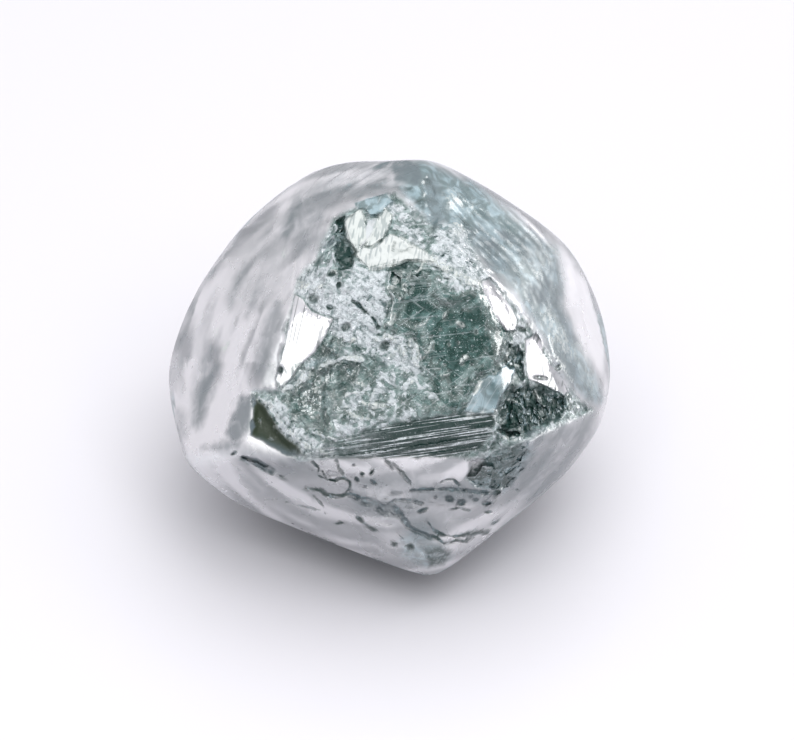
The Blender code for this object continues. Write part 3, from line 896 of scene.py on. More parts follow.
@dataclass
class Carving:
    """Cuts the marks of growth, etching and breakage into the stone's skin."""

    surface: Surface
    swell_height: float = 0.055
    unevenness: tuple[float, float] = (0.006, 0.0015)
    break_sink: float = 0.035
    dent_depth: float = 0.018
    shard_heights: tuple[float, ...] = (0.07, 0.13, 0.16)
    ledge_spacing: float = 0.15
    ledge_height: float = 0.028
    ledge_rise: float = 0.13
    pane_sink: float = 0.012
    splinter_heights: tuple[float, float] = (0.09, 0.03)
    wave_depth: float = 0.003
    wave_pace: float = 21.0
    wave_middle: tuple[float, float] = (0.2, 1.6)
    fleck_depth: float = 0.02
    window_swell: float = 0.012
    etched_depths: tuple[float, float] = (0.030, 0.05)
    frost_height: float = 0.020
    grain_height: float = 0.010
    clump_height: float = 0.018
    lump_height: float = 0.020
    rim_height: float = 0.030
    ripple_height: float = 0.008
    ripple_pace: float = 55.0
    rippled_ledge_height: float = 0.035
    sugar_height: float = 0.007
    glint_height: float = 0.020
    bump_height: float = 0.08
    base_border: float = 0.25

    def shard_depth(self) -> Array:
        """Depth of the tilted shards, from coarse to fine, calmer in the window and the ledges."""
        surface = self.surface
        rough = surface.broken() * (1.0 - 0.93 * surface.reach(WINDOW, -0.02, 0.10))
        rough = rough * (1.0 - 0.75 * surface.reach(MOTTLED, -0.05, 0.10))
        rough = rough * (1.0 - 0.85 * surface.reach(LEDGE_BAND, 0.0, 0.08))
        rough = rough * (1.0 - 0.90 * surface.reach(HOLLOWS[Side.FRONT]["olive_corner"].outline, 0.0, 0.05))
        rows = rough > 0.0
        depth = self.break_sink * (1.0 + Lump.HEAVE.over(surface.points))
        depth += self.dent_depth * Lump.DENT.over(surface.points)
        for shard, height in zip((Shard.COARSE, Shard.MIDDLE, Shard.FINE), self.shard_heights):
            depth[rows] += height * shard.value[0] * (0.6 + shard.over(surface.points[rows]))
        return rough * depth

    def ledge_depth(self) -> Array:
        """Depth of the stacked ledges along the lower edge of the broken front."""
        surface = self.surface
        reach = surface.reach(LEDGE_BAND, 0.0, 0.06)
        climb = surface.up - self.ledge_rise * surface.across + 0.3 * surface.wander
        coarse = (climb / self.ledge_spacing) % 1.0
        fine = (3.7 * climb / self.ledge_spacing + 0.3) % 1.0
        return reach * (0.02 + self.ledge_height * (1.1 - 0.8 * coarse - 0.25 * fine))

    def hollow_depth(self, side: Side) -> Array:
        """Depth of one side's chips and bowls, with splinters in their floors.

        Args:
            side: The side that their outlines are laid out on.

        Returns:
            One depth for each point.
        """
        surface = self.surface
        across_axis, up_axis, _ = side.axes()
        across = surface.points @ across_axis
        up = surface.points @ up_axis
        depth = np.zeros(len(across))
        for hollow in HOLLOWS[side].values():
            inside = Pattern.depth_inside(across, up, hollow.outline) + surface.wander
            share = Pattern.step(inside, 0.0, hollow.wall)
            depth += share * hollow.depth
            if hollow.splinters:
                rows = share > 0.0
                points = surface.points[rows]
                coarse, fine = self.splinter_heights
                splinters = coarse * Shard.SPLINTER.over(points) + fine * Shard.FINE_SPLINTER.over(points)
                depth[rows] += share[rows] * hollow.splinters * splinters
        return depth

    def window_depth(self) -> Array:
        """Depth of the window's faint curved waves and of its scratches."""
        surface = self.surface
        reach = surface.reach(WINDOW, 0.0, 0.12)
        away = np.hypot(surface.across - self.wave_middle[0], surface.up - self.wave_middle[1])
        waves = self.wave_depth * np.sin(away * self.wave_pace + 6.0 * Lump.WAVE.over(surface.points))
        flecks = self.fleck_depth * Pattern.step(Lump.FLECK.over(surface.points), 0.6, 0.85)
        return reach * (waves + flecks + self.window_swell * Lump.WINDOW_SWELL.over(surface.points))

    def pane_depth(self) -> Array:
        """Depth of the panes, each tilted a little."""
        surface = self.surface
        depth = np.zeros(len(surface.across))
        for pane in PANES.values():
            middle_across, middle_up = (sum(place) / len(pane.outline) for place in zip(*pane.outline))
            tilt = (surface.across - middle_across) * pane.tilt[0] + (surface.up - middle_up) * pane.tilt[1]
            depth += surface.pane_share(pane) * (self.pane_sink + tilt)
        return depth

    def pit_depth(self) -> Array:
        """Depth of the etch pits and the cracks."""
        surface = self.surface
        pits = Pattern.most(pit.depth * surface.pit_share(pit) for pit in PITS)
        cracks = Pattern.most(crack.depth * surface.crack_share(crack) for crack in CRACKS)
        return np.maximum(pits, cracks)

    def etched_depth(self) -> Array:
        """Depth of the crackled strip along the lower edges."""
        surface = self.surface
        reach = surface.reach(ETCHED_EDGE, -0.08, 0.08)
        rows = reach > 0.0
        points = surface.points[rows]
        rough = 0.5 + Shard.ETCHED.over(points) + 0.4 * Shard.FINE_ETCHED.over(points)
        depth = np.zeros(len(reach))
        holes = Pattern.step(Lump.ETCHED_HOLE.over(points), 0.25, 0.7)
        depth[rows] = self.etched_depths[0] * rough + self.etched_depths[1] * holes
        return reach * depth

    def raised(self) -> Array:
        """Height of the frosting's grains, and of the rippled ledge and the bumps that carry painted
        highlights.
        """
        surface = self.surface
        points = surface.points
        grains = Lump.FROST_GRAIN.over(points) + 0.5 * Lump.FINE_FROST_GRAIN.over(points)
        lumps = Lump.FROST_LUMP.over(points)
        clumps = Lump.FROST_CLUMP.over(points)
        frost = self.frost_height + self.grain_height * grains + self.clump_height * clumps
        height = surface.frosted() * (frost + self.lump_height * lumps) + self.rim_height * surface.rims()
        ledge = surface.reach(RIPPLED_LEDGE, -0.02, 0.05)
        ripple = np.sin((surface.across - 0.8 * surface.up) * self.ripple_pace + 8.0 * surface.wander)
        height += ledge * (self.rippled_ledge_height + self.ripple_height * ripple)
        for glint in GLINTS:
            height += self.glint_height * surface.crack_share(glint)
        for corners in HIGHLIGHTED_BUMPS:
            height += self.bump_height * surface.reach(corners, -0.05, 0.14)
        sugar = surface.reach(TEAL_SUGAR, -0.05, 0.15)
        return height + sugar * self.sugar_height * (grains + Lump.SUGAR_GRAIN.over(points) + lumps)

    def growth(self) -> Array:
        """Height of the natural faces' swellings, grooves and faint unevenness."""
        points = self.surface.points
        height = self.swell_height * Lump.GROWTH.over(points)
        coarse, fine = self.unevenness
        height += coarse * Lump.UNEVENNESS.over(points) + fine * Lump.FINE_UNEVENNESS.over(points)
        for order, (name, grooves) in enumerate(GROOVED_FACES.items()):
            place, along = self.surface.groove_place(name)
            place = place / grooves.spacing + 0.8 * Lump.GROOVE_BEND.over(points, order)
            fade = 0.5 + 0.5 * Lump.GROOVE_FADE.over(points, order)
            wave = np.sin(2.0 * math.pi * place) + 0.5 * np.sin(5.2 * math.pi * place + along)
            height += self.surface.on_face(name) * grooves.depth * fade * wave
        return height

    def cut(self, side: Side) -> Array:
        """How far this surface's points move inward.

        Args:
            side: The side that they are seen from.

        Returns:
            One depth for each point.
        """
        if side is Side.BACK:
            return self.hollow_depth(side) * self.surface.seen_from(side)
        depth = self.shard_depth() + self.ledge_depth() + self.hollow_depth(side) + self.window_depth()
        depth = depth + self.pane_depth() + self.pit_depth() + self.etched_depth() - self.raised()
        return depth * self.surface.facing

    def moved(self) -> Array:
        """The skin's points after all the carving, in millimetres."""
        surface = self.surface
        above_base = Pattern.step(surface.points[:, 2], -BASE_DEPTH, self.base_border - BASE_DEPTH)
        points = surface.points + (above_base * self.growth())[:, None] * surface.normals
        for side in Side:
            rows = surface.seen_from(side) > 0.0
            depth = Carving(Surface(surface.points[rows], surface.normals[rows])).cut(side)
            points[rows] -= (above_base[rows] * depth)[:, None] * side.axes()[2]
        return points


@dataclass
class Markings:
    """Works out each zone's share over the finished skin, for the finish to change by."""

    surface: Surface
    detail: Array
    bold_mark: float = 0.85
    faint_mark: float = 0.50
    bold_widths: tuple[float, float] = (0.04, 0.13)
    crest_height: float = 0.012
    away: Array = field(init=False)
    clouds: Array = field(init=False)

    def __post_init__(self) -> None:
        """Works out what faces away from the looker, and the clouds of the hidden sides."""
        points = self.surface.points
        self.away = 1.0 - self.surface.facing
        self.clouds = Lump.CLOUD.over(points * (1.0, 1.0, 0.45))
        self.clouds += 0.5 * Lump.SMALL_CLOUD.over(points)

    def dark(self) -> Array:
        """Share of painted shade in cracks, pits and on the floors of chips."""
        surface = self.surface
        dark = np.zeros(len(surface.points))
        # The floors of chips are painted dark as shade
        for hollow in HOLLOWS[Side.FRONT].values():
            inside = Pattern.depth_inside(surface.across, surface.up, hollow.outline) + 2.5 * surface.wander
            floor = Pattern.step(inside, 0.0, 1.2 * hollow.wall)
            dark = np.maximum(dark, hollow.dark * floor * surface.facing)
        narrow, wide = self.bold_widths
        for mark in PITS + CRACKS:
            share = surface.pit_share(mark) if isinstance(mark, Pit) else surface.crack_share(mark)
            amount = self.bold_mark if narrow < mark.width < wide else self.faint_mark
            dark = np.maximum(dark, amount * share)
        return dark

    def streaked(self) -> Array:
        """Light and dark streaks, round the stone and along the grooves of its natural faces, darker on the
        sides turned away, and painted shade towards the bottom of the front.
        """
        surface, points = self.surface, self.surface.points
        streaked = 0.60 + 0.60 * surface.ringed() * surface.facing
        streaked -= self.away * (0.22 + 0.30 * Lump.HIDDEN_STREAK.over(points * (1.0, 1.0, 0.3)))
        # Painted shade: darker towards the bottom of the front
        streaked -= 0.40 * Pattern.step(-surface.up, 1.30, 1.90) * surface.facing
        for order, name in enumerate(GROOVED_FACES):
            place, along = surface.groove_place(name)
            stretched = np.stack([place, along * 0.09, np.full(len(points), 7.0 * order)], axis=1)
            streaks = Lump.STREAK.over(stretched) + 0.6 * Lump.FINE_STREAK.over(stretched)
            streaked += surface.on_face(name) * 0.30 * streaks
        return streaked

    def pale(self) -> Array:
        """Share of the painted highlights: glints, rims and bumps."""
        surface = self.surface
        glints = Pattern.most(surface.crack_share(glint) for glint in GLINTS)
        bumps = Pattern.most(0.5 * surface.reach(corners, -0.02, 0.12) for corners in HIGHLIGHTED_BUMPS)
        return Pattern.most([glints, 0.6 * surface.rims(), bumps])

    def dusky(self) -> Array:
        """Share of the painted shade on the underside, and of the dull clouds of the hidden sides."""
        # Painted shade on faces that point down
        under = 0.8 * Pattern.step(-self.surface.normals[:, 2], 0.70, 0.90)
        return np.maximum(under, self.away * 0.45 * Pattern.step(-self.clouds, 0.20, 0.70))

    def shares(self) -> dict[Zone, Array]:
        """Every zone's share, with the patches and the panes' tints laid over."""
        surface = self.surface
        teal = surface.reach(TEAL_SUGAR, -0.15, 0.10)
        teal = np.maximum(teal, self.away * 0.75 * Pattern.step(self.clouds, -0.15, 0.55))
        pale = self.pale()
        polished = np.zeros(len(teal))
        for pane in PANES.values():
            share = surface.pane_share(pane, 0.02)
            polished = np.maximum(polished, pane.polish * share)
            pale = np.maximum(pale, pane.pale * share)
            teal = np.maximum(teal, pane.teal * share)
        lined = 0.4 + 0.6 * Pattern.step(surface.across, -0.9, 0.3)
        # Raised points near 1, sunk points near 0, for painted highlight and shade
        crests = np.tanh(self.detail / self.crest_height) * (1.0 - surface.panes(0.06))
        shares = {
            Zone.BROKEN: surface.broken(),
            Zone.FROSTED: np.maximum(surface.frosted(), surface.rims()) * (1.0 - polished),
            Zone.WINDOW: surface.window(),
            Zone.POLISHED: polished,
            Zone.PALE: pale,
            Zone.DARK: self.dark(),
            Zone.OLIVE: surface.reach(HOLLOWS[Side.FRONT]["olive_corner"].outline, -0.02, 0.06),
            Zone.DUSKY: self.dusky(),
            Zone.TEAL: teal,
            Zone.LEDGED: lined * surface.reach(LEDGE_BAND, -0.02, 0.05),
            Zone.STREAKED: self.streaked(),
            Zone.CREST: 0.5 + 0.5 * crests,
        }
        for patch in PATCHES:
            share = patch.share * surface.reach(patch.outline, -patch.border, patch.border)
            shares[patch.zone] = np.maximum(shares[patch.zone], share)
        return shares


@dataclass
class RoughStone:
    """The whole crystal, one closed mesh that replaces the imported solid."""

    block: float = 14.0
    grain: float = 0.036
    grown_softness: float = 0.11
    broken_softness: float = 0.033
    rounding_passes: int = 4
    triangles: int = 196_000
    sharp_angle: float = 50.0
    smoothing_passes: int = 8
    foot_reach: float = 0.02
    stone: bpy.types.Object = field(init=False)
    offset: Vector = field(init=False)

    def build(self) -> bpy.types.Object:
        """Makes the stone and seats it on the frame.

        Returns:
            The finished object, at the origin, with its place in its mesh.
        """
        self.cut_faces()
        self.refine_grain()
        self.round_ridges()
        self.refine_front()
        self.carve()
        self.thin_out()
        self.mark_zones()
        self.seat()
        return self.stone

    def cut_faces(self) -> None:
        """Cuts a block along every crystal face."""
        bpy.ops.object.select_all(action="DESELECT")
        bpy.ops.mesh.primitive_cube_add(size=self.block)
        self.stone = bpy.context.active_object
        self.stone.name = "diamond_crystal"
        self.stone.data.name = "diamond_crystal"
        bpy.ops.object.mode_set(mode="EDIT")
        for face in FACES.values():
            normal = face.normal()
            bpy.ops.mesh.select_all(action="SELECT")
            bpy.ops.mesh.bisect(
                plane_co=normal * face.distance,
                plane_no=normal,
                use_fill=True,
                clear_outer=True,
                threshold=1e-5,
            )
        bpy.ops.object.mode_set(mode="OBJECT")

    def refine_grain(self) -> None:
        """Gives the skin an even, fine grain of small faces."""
        grain = self.stone.modifiers.new("grain", "REMESH")
        grain.mode = "VOXEL"
        grain.voxel_size = self.grain
        grain.adaptivity = 0.0
        bpy.ops.object.modifier_apply(modifier=grain.name)

    @staticmethod
    def soft_top(heights: Array, softness: float) -> tuple[Array, Array]:
        """Greatest height at each point, made smooth.

        Args:
            heights: One row of heights for each face.
            softness: How widely the faces melt into each other, in millimetres.

        Returns:
            The smooth height, and each face's share in it.
        """
        top = heights.max(axis=0)
        share = np.exp((heights - top) / softness)
        total = share.sum(axis=0)
        return top + softness * np.log(total), share / total

    def round_ridges(self) -> None:
        """Slides the skin inward to where the faces meet in rounded ridges."""
        points, _ = Skin.read(self.stone)
        normals = np.stack([np.array(face.normal()) for face in FACES.values()])
        distances = np.array([face.distance for face in FACES.values()])
        sharp = np.array([name in SHARP_FACES for name in FACES])
        for _ in range(self.rounding_passes):
            heights = normals @ points.T - distances[:, None]
            grown, share = self.soft_top(heights[~sharp], self.grown_softness)
            grown_slope = share.T @ normals[~sharp]
            level, share = self.soft_top(np.vstack([grown, heights[sharp]]), self.broken_softness)
            slope = share[:1].T * grown_slope + share[1:].T @ normals[sharp]
            points = points - (level / (slope * slope).sum(axis=1))[:, None] * slope
        Skin.write(self.stone, points)

    def refine_front(self) -> None:
        """Splits the faces of the broken front once more, where the finest marks are."""
        points, normals = Skin.read(self.stone)
        across_axis, up_axis, out_axis = Side.FRONT.axes()
        inside = Pattern.depth_inside(points @ across_axis, points @ up_axis, FINE_FRONT) > 0.0
        inside &= (points @ out_axis > 0.0) & (normals @ out_axis > 0.0)
        corners = np.empty(len(self.stone.data.loops), dtype=np.int32)
        self.stone.data.loops.foreach_get("vertex_index", corners)
        starts = np.empty(len(self.stone.data.polygons), dtype=np.int32)
        self.stone.data.polygons.foreach_get("loop_start", starts)
        chosen = np.minimum.reduceat(inside[corners], starts)
        bpy.context.tool_settings.mesh_select_mode = (False, False, True)
        bpy.ops.object.mode_set(mode="EDIT")
        bpy.ops.mesh.select_all(action="DESELECT")
        bpy.ops.object.mode_set(mode="OBJECT")
        self.stone.data.polygons.foreach_set("select", chosen)
        bpy.ops.object.mode_set(mode="EDIT")
        bpy.ops.mesh.subdivide(number_cuts=1)
        bpy.ops.object.mode_set(mode="OBJECT")

    def carve(self) -> None:
        """Moves the skin by its carving."""
        Skin.write(self.stone, Carving(Surface(*Skin.read(self.stone))).moved())

    def thin_out(self) -> None:
        """Keeps only the triangles that the shape needs, and sets its shading."""
        self.stone.data.calc_loop_triangles()
        thinning = self.stone.modifiers.new("thinning", "DECIMATE")
        thinning.ratio = min(1.0, self.triangles / len(self.stone.data.loop_triangles))
        bpy.ops.object.modifier_apply(modifier=thinning.name)
        bpy.ops.object.shade_smooth_by_angle(angle=math.radians(self.sharp_angle))

    def mark_zones(self) -> None:
        """Writes each zone's share on the mesh, for the finish."""
        points, normals = Skin.read(self.stone)
        smooth = Skin.smoothed(self.stone, points, self.smoothing_passes)
        markings = Markings(Surface(points, normals), ((points - smooth) * normals).sum(axis=1))
        for zone, share in markings.shares().items():
            attribute = self.stone.data.attributes.new(zone.value, "FLOAT", "POINT")
            attribute.data.foreach_set("value", np.clip(share, 0.0, 1.0).astype(np.float32))

    def seat(self) -> None:
        """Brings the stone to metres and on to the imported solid's place."""
        low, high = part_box(NODE)
        points, _ = Skin.read(self.stone)
        points[points[:, 2] < self.foot_reach - BASE_DEPTH, 2] = -BASE_DEPTH
        points *= MM
        middle = (points.min(axis=0) + points.max(axis=0)) / 2.0
        self.offset = (low + high) / 2.0 - Vector(middle)
        self.offset.z = low.z + BASE_DEPTH * MM
        Skin.write(self.stone, points + np.array(self.offset))


class Value:
    """A number in a shader: it wraps an output socket, and its operators add Math nodes."""

    def __init__(self, kit: "NodeKit", socket: bpy.types.NodeSocket) -> None:
        self.kit = kit
        self.socket = socket

    def __add__(self, other: "Value | Number") -> "Value":
        """Sum."""
        return self.kit.math("ADD", self, other)

    __radd__ = __add__

    def __mul__(self, other: "Value | Number") -> "Value":
        """Product."""
        return self.kit.math("MULTIPLY", self, other)

    __rmul__ = __mul__

    def __sub__(self, other: "Value | Number") -> "Value":
        """This less the other."""
        return self.kit.math("SUBTRACT", self, other)

    def __rsub__(self, other: Number) -> "Value":
        """The other less this."""
        return self.kit.math("SUBTRACT", other, self)

    def most(self, other: "Value | Number") -> "Value":
        """The greater of the two."""
        return self.kit.math("MAXIMUM", self, other)

    def between(self, low: float, high: float, start: float = 0.0, end: float = 1.0) -> "Value":
        """Smooth step as this goes from low to high.

        Args:
            low: Where the step begins.
            high: Where it ends; below low, the step runs the other way.
            start: Result at low.
            end: Result at high.

        Returns:
            The stepped value.
        """
        inputs = {"Value": self, "From Min": low, "From Max": high, "To Min": start, "To Max": end}
        node = self.kit.add("ShaderNodeMapRange", {"interpolation_type": "SMOOTHSTEP"}, inputs)
        return Value(self.kit, node.outputs["Result"])


class Cloud(Enum):
    """Noises of the finish: width of a lump in millimetres, detail and distortion."""

    SPECK = (0.022, 0.0, 0.0)
    ETCHING = (0.06, 0.0, 0.0)
    CHIP = (0.06, 3.0, 0.0)
    MOTTLE = (0.13, 3.0, 0.5)
    GRAIN = (0.16, 3.0, 0.8)
    CRUST = (0.22, 4.0, 1.2)
    DUSK = (0.24, 3.0, 0.5)
    DEPTHS = (0.28, 4.0, 1.0)
    BROAD = (0.6, 4.0, 0.0)


class Strokes(Enum):
    """Fine lines on the front: degrees that they rise to the right, width, rarity and stretch."""

    LEDGE_GAP = (8.0, 0.022, 0.54, 45.0)
    LEDGE_LIGHT = (8.0, 0.022, 0.57, 45.0)
    LEVEL_SCRATCH = (7.0, 0.030, 0.64, 22.0)
    RISING_SCRATCH = (34.0, 0.024, 0.68, 22.0)
    FALLING_SCRATCH = (-38.0, 0.028, 0.69, 22.0)
    CRUST_STREAK = (-38.0, 0.040, 0.56, 12.0)
    PANE_GAP = (78.0, 0.040, 0.60, 30.0)
    PALE_LINE = (80.0, 0.040, 0.52, 22.0)
    TEAL_LINE = (58.0, 0.035, 0.58, 10.0)


@dataclass
class NodeKit:
    """Adds nodes to one node tree, and each texture only once."""

    tree: bpy.types.NodeTree
    coordinates: str = "Object"
    small_facets: float = 0.055
    large_facets: float = 0.10
    line_edge: tuple[float, float] = (0.02, 0.10)
    line_depth: float = 3.0
    place: bpy.types.NodeSocket = field(init=False)
    made: dict[tuple, bpy.types.Node] = field(default_factory=dict)

    def __post_init__(self) -> None:
        """Adds the coordinates that every texture reads."""
        self.place = self.add("ShaderNodeTexCoord", {}, {}).outputs[self.coordinates]

    def feed(self, node: bpy.types.Node, inputs: dict) -> None:
        """Gives a node's input sockets, by name or place, their values or links."""
        for name, value in inputs.items():
            socket = node.inputs[name]
            if isinstance(value, Value):
                value = value.socket
            if isinstance(value, bpy.types.NodeSocket):
                self.tree.links.new(value, socket)
            else:
                socket.default_value = value

    def add(self, kind: str, settings: dict, inputs: dict) -> bpy.types.Node:
        """Adds a node.

        Args:
            kind: The node's type.
            settings: Its properties, set before its sockets.
            inputs: Values or links for its input sockets, by name or place.

        Returns:
            The new node.
        """
        node = self.tree.nodes.new(kind)
        for name, setting in settings.items():
            setattr(node, name, setting)
        self.feed(node, inputs)
        return node

    def math(self, operation: str, first: "Value | Number", second: "Value | Number") -> Value:
        """Adds a Math node of two numbers."""
        node = self.add("ShaderNodeMath", {"operation": operation}, {0: first, 1: second})
        return Value(self, node.outputs[0])

    def vector_math(self, operation: str, first: object, second: object) -> bpy.types.Node:
        """Adds a Vector Math node of two vectors."""
        return self.add("ShaderNodeVectorMath", {"operation": operation}, {0: first, 1: second})

    def blend(self, share: "Value | Number", first: object, second: object) -> bpy.types.NodeSocket:
        """Mixes two colours by a share."""
        node = self.add("ShaderNodeMix", {"data_type": "RGBA"}, {"Factor": share, 6: first, 7: second})
        return node.outputs[2]

    def zone(self, zone: Zone) -> Value:
        """A zone's share, read from the mesh."""
        node = self.add("ShaderNodeAttribute", {"attribute_name": zone.value}, {})
        return Value(self, node.outputs["Fac"])

    def texture(
        self, kind: str, output: str, place: bpy.types.NodeSocket, size: float, inputs: dict
    ) -> bpy.types.NodeSocket:
        """Adds a texture, or finds the same one where it has been added before.

        Args:
            kind: The node's type.
            output: The output that is read.
            place: Where it is read.
            size: Width of its marks, in millimetres.
            inputs: Other input values, by name.

        Returns:
            The texture's output.
        """
        key = (kind, place.node.name, size, *inputs.values())
        if key not in self.made:
            self.made[key] = self.add(kind, {}, {"Vector": place, "Scale": 1.0 / (size * MM), **inputs})
        return self.made[key].outputs[output]

    def noise(self, cloud: Cloud) -> Value:
        """One of the finish's noises, at the plain place."""
        size, detail, distortion = cloud.value
        inputs = {"Detail": detail, "Distortion": distortion}
        return Value(self, self.texture("ShaderNodeTexNoise", "Fac", self.place, size, inputs))

    def facets(self, size: float) -> Value:
        """One steady random number for each cell size millimetres wide."""
        return Value(self, self.texture("ShaderNodeTexVoronoi", "Color", self.place, size, {}))

    def shards(self, size: float) -> Value:
        """Height of flat shards, each tilted its own way.

        Args:
            size: Width of a shard, in millimetres.

        Returns:
            The height, as a share of the size.
        """
        middle = self.texture("ShaderNodeTexVoronoi", "Position", self.place, size, {})
        colour = self.texture("ShaderNodeTexVoronoi", "Color", self.place, size, {})
        away = self.vector_math("SUBTRACT", self.place, middle)
        tilt = self.vector_math("SUBTRACT", colour, (0.5, 0.5, 0.5))
        level = self.vector_math("DOT_PRODUCT", away.outputs[0], tilt.outputs[0])
        return Value(self, level.outputs["Value"]) * (1.0 / (size * MM))

    def lines(self, strokes: Strokes) -> Value:
        """Fine lines that run one way on the front.

        Args:
            strokes: Which of the finish's lines.

        Returns:
            1 on a line, falling to 0 beside it.
        """
        turn, width, rarity, stretch = strokes.value
        front = Matrix([Vector(axis) for axis in Side.FRONT.axes()]).transposed()
        turned = (front @ Matrix.Rotation(math.radians(turn), 3, "Z")).to_euler()
        inputs = {"Vector": self.place, "Rotation": turned, "Scale": (stretch, 1.0, self.line_depth)}
        drawn = self.add("ShaderNodeMapping", {"vector_type": "TEXTURE"}, inputs).outputs["Vector"]
        marks = self.texture("ShaderNodeTexNoise", "Fac", drawn, width, {"Detail": 0.0, "Distortion": 0.0})
        low, high = self.line_edge
        return Value(self, marks).between(rarity + low, rarity + high)


@dataclass(frozen=True)
class CrystalFinish:
    """Clear, included grey-green diamond: glossy grown faces, and a sugary, see-through break."""

    kit: NodeKit
    zone: SimpleNamespace
    body: Colour = (0.36, 0.37, 0.40, 1.0)
    # Lighter copy of the body colour: light streaks, and painted light on the limbs
    body_light: Colour = (0.97, 0.95, 1.0, 1.0)
    # Colour of painted shade, and of the dull tone of the hidden sides
    dusky: Colour = (0.105, 0.135, 0.150, 1.0)
    broken: Colour = (0.060, 0.145, 0.130, 1.0)
    broken_light: Colour = (0.33, 0.47, 0.46, 1.0)
    window: Colour = (0.024, 0.082, 0.068, 1.0)
    window_light: Colour = (0.15, 0.28, 0.265, 1.0)
    # White of the frosting, also used for painted highlights on crests, ledge edges and sparkle
    frosted: Colour = (0.88, 0.95, 1.0, 1.0)
    frost_shade: Colour = (0.15, 0.235, 0.245, 1.0)
    # Colour of the painted highlights
    pale: Colour = (0.86, 0.92, 0.89, 1.0)
    # Near-black painted shade, for chip floors, cracks, pits, creases and the gaps between ledges
    hollow: Colour = (0.012, 0.034, 0.030, 1.0)
    olive: Colour = (0.032, 0.044, 0.028, 1.0)
    turquoise: Colour = (0.048, 0.150, 0.165, 1.0)
    turquoise_light: Colour = (0.34, 0.52, 0.59, 1.0)
    ior: float = 2.417
    transmission: float = 0.42
    gap_ior: float = 1.25
    gap_roughness: float = 0.45
    absorption: Colour = (0.40, 0.68, 0.62, 1.0)
    absorption_density: float = 110.0
    least_roughness: float = 0.05
    bump_distance: float = 0.010

    @classmethod
    def build(cls) -> bpy.types.Material:
        """Makes the material, with its colour, gloss and fine relief by zone."""
        material = bpy.data.materials.new("grey_green_crystal")
        material.use_nodes = True
        kit = NodeKit(material.node_tree)
        cls(kit, SimpleNamespace(**{zone.value: kit.zone(zone) for zone in Zone})).dress()
        return material

    def dress(self) -> None:
        """Lays the clear crystal, its dark gaps of painted shade and its absorption into the material."""
        kit, nodes = self.kit, self.kit.tree.nodes
        surface = nodes["Principled BSDF"]
        kit.feed(surface, {
            "Base Color": self.colour(),
            "Roughness": self.gloss(),
            "Normal": self.relief(),
            "IOR": self.ior,
            "Transmission Weight": self.transmission,
        })
        # Colour of the painted shade in the gaps: near-black, olive in the olive corner, and the shade
        # colour on the shaded patches
        depth = kit.blend(self.zone.olive, self.hollow, self.olive)
        depth = kit.blend(self.zone.dusky.between(0.0, 0.3), depth, self.dusky)
        unlit = {"Base Color": depth, "Roughness": self.gap_roughness, "IOR": self.gap_ior}
        gap = kit.add("ShaderNodeBsdfPrincipled", {}, unlit)
        layers = {0: self.gaps(), 1: surface.outputs["BSDF"], 2: gap.outputs["BSDF"]}
        mixed = kit.add("ShaderNodeMixShader", {}, layers)
        absorbing = {"Color": self.absorption, "Density": self.absorption_density}
        inside = kit.add("ShaderNodeVolumeAbsorption", {}, absorbing)
        ends = {"Surface": mixed.outputs["Shader"], "Volume": inside.outputs["Volume"]}
        kit.feed(nodes["Material Output"], ends)

    def rough(self) -> Value:
        """Share of all that is broken or dark."""
        return self.zone.broken.most(self.zone.dark)

    def glass(self) -> Value:
        """Share of the clearest parts of the window."""
        return self.zone.window.between(0.75, 1.0)

    def glints(self) -> Value:
        """Share of painted glints, cell by cell, in the dark hollows."""
        chips = self.kit.facets(self.kit.large_facets).between(0.60, 0.66)
        return chips * self.kit.noise(Cloud.CHIP).between(0.45, 0.55)

    def dusk(self) -> Value:
        """Share of painted shade and dull tone on the skin, clouded within its patches."""
        return self.zone.dusky * self.kit.noise(Cloud.DUSK).between(0.3, 0.6, 0.6, 1.0)

    def crust(self) -> Value:
        """Share of sugary crust, ragged at every scale and holed here and there."""
        zone = self.zone
        share = self.kit.noise(Cloud.CRUST) + 0.27 * zone.frosted - 0.24 * zone.window
        # More crust on crests, which in part paints them light as a highlight
        share = share + 0.24 * (zone.crest - 0.5)
        return share.between(0.52, 0.63) * zone.broken * (1.0 - zone.polished.most(zone.dark))

    def gaps(self) -> Value:
        """Share of the dark, unlit gap shader, painted shade: cracks, pits, the floors of chips, creases,
        between the ledges and the shaded patches, with dark patches in the break and the olive corner.
        """
        kit, zone = self.kit, self.zone
        marks = zone.dark * kit.noise(Cloud.MOTTLE).between(0.32, 0.55, 0.45, 1.0)
        marks = marks * (1.0 - 0.8 * self.glints())
        # Painted shade in the creases of the break
        furrows = zone.crest.between(0.32, 0.06) * self.rough() * 0.7
        # Painted shade between the ledges
        ledges = zone.ledged * (1.0 - kit.lines(Strokes.LEDGE_GAP)) * 0.75
        lined = kit.lines(Strokes.PANE_GAP) * zone.polished * (1.0 - zone.pale)
        depths = zone.broken * (1.0 - zone.frosted) * kit.noise(Cloud.GRAIN).between(0.58, 0.38)
        olive = zone.olive * kit.noise(Cloud.GRAIN).between(0.3, 0.5, 0.7, 1.0)
        natural = marks.most(furrows).most(ledges).most(0.55 * lined)
        return natural.most(self.dusk() * 0.8).most(depths * 0.55).most(olive)

    def grown_colour(self) -> bpy.types.NodeSocket:
        """Colour of the natural faces: clouded grey, with teal sugary skin and patches of painted shade and
        dull tone.
        """
        kit, zone = self.kit, self.zone
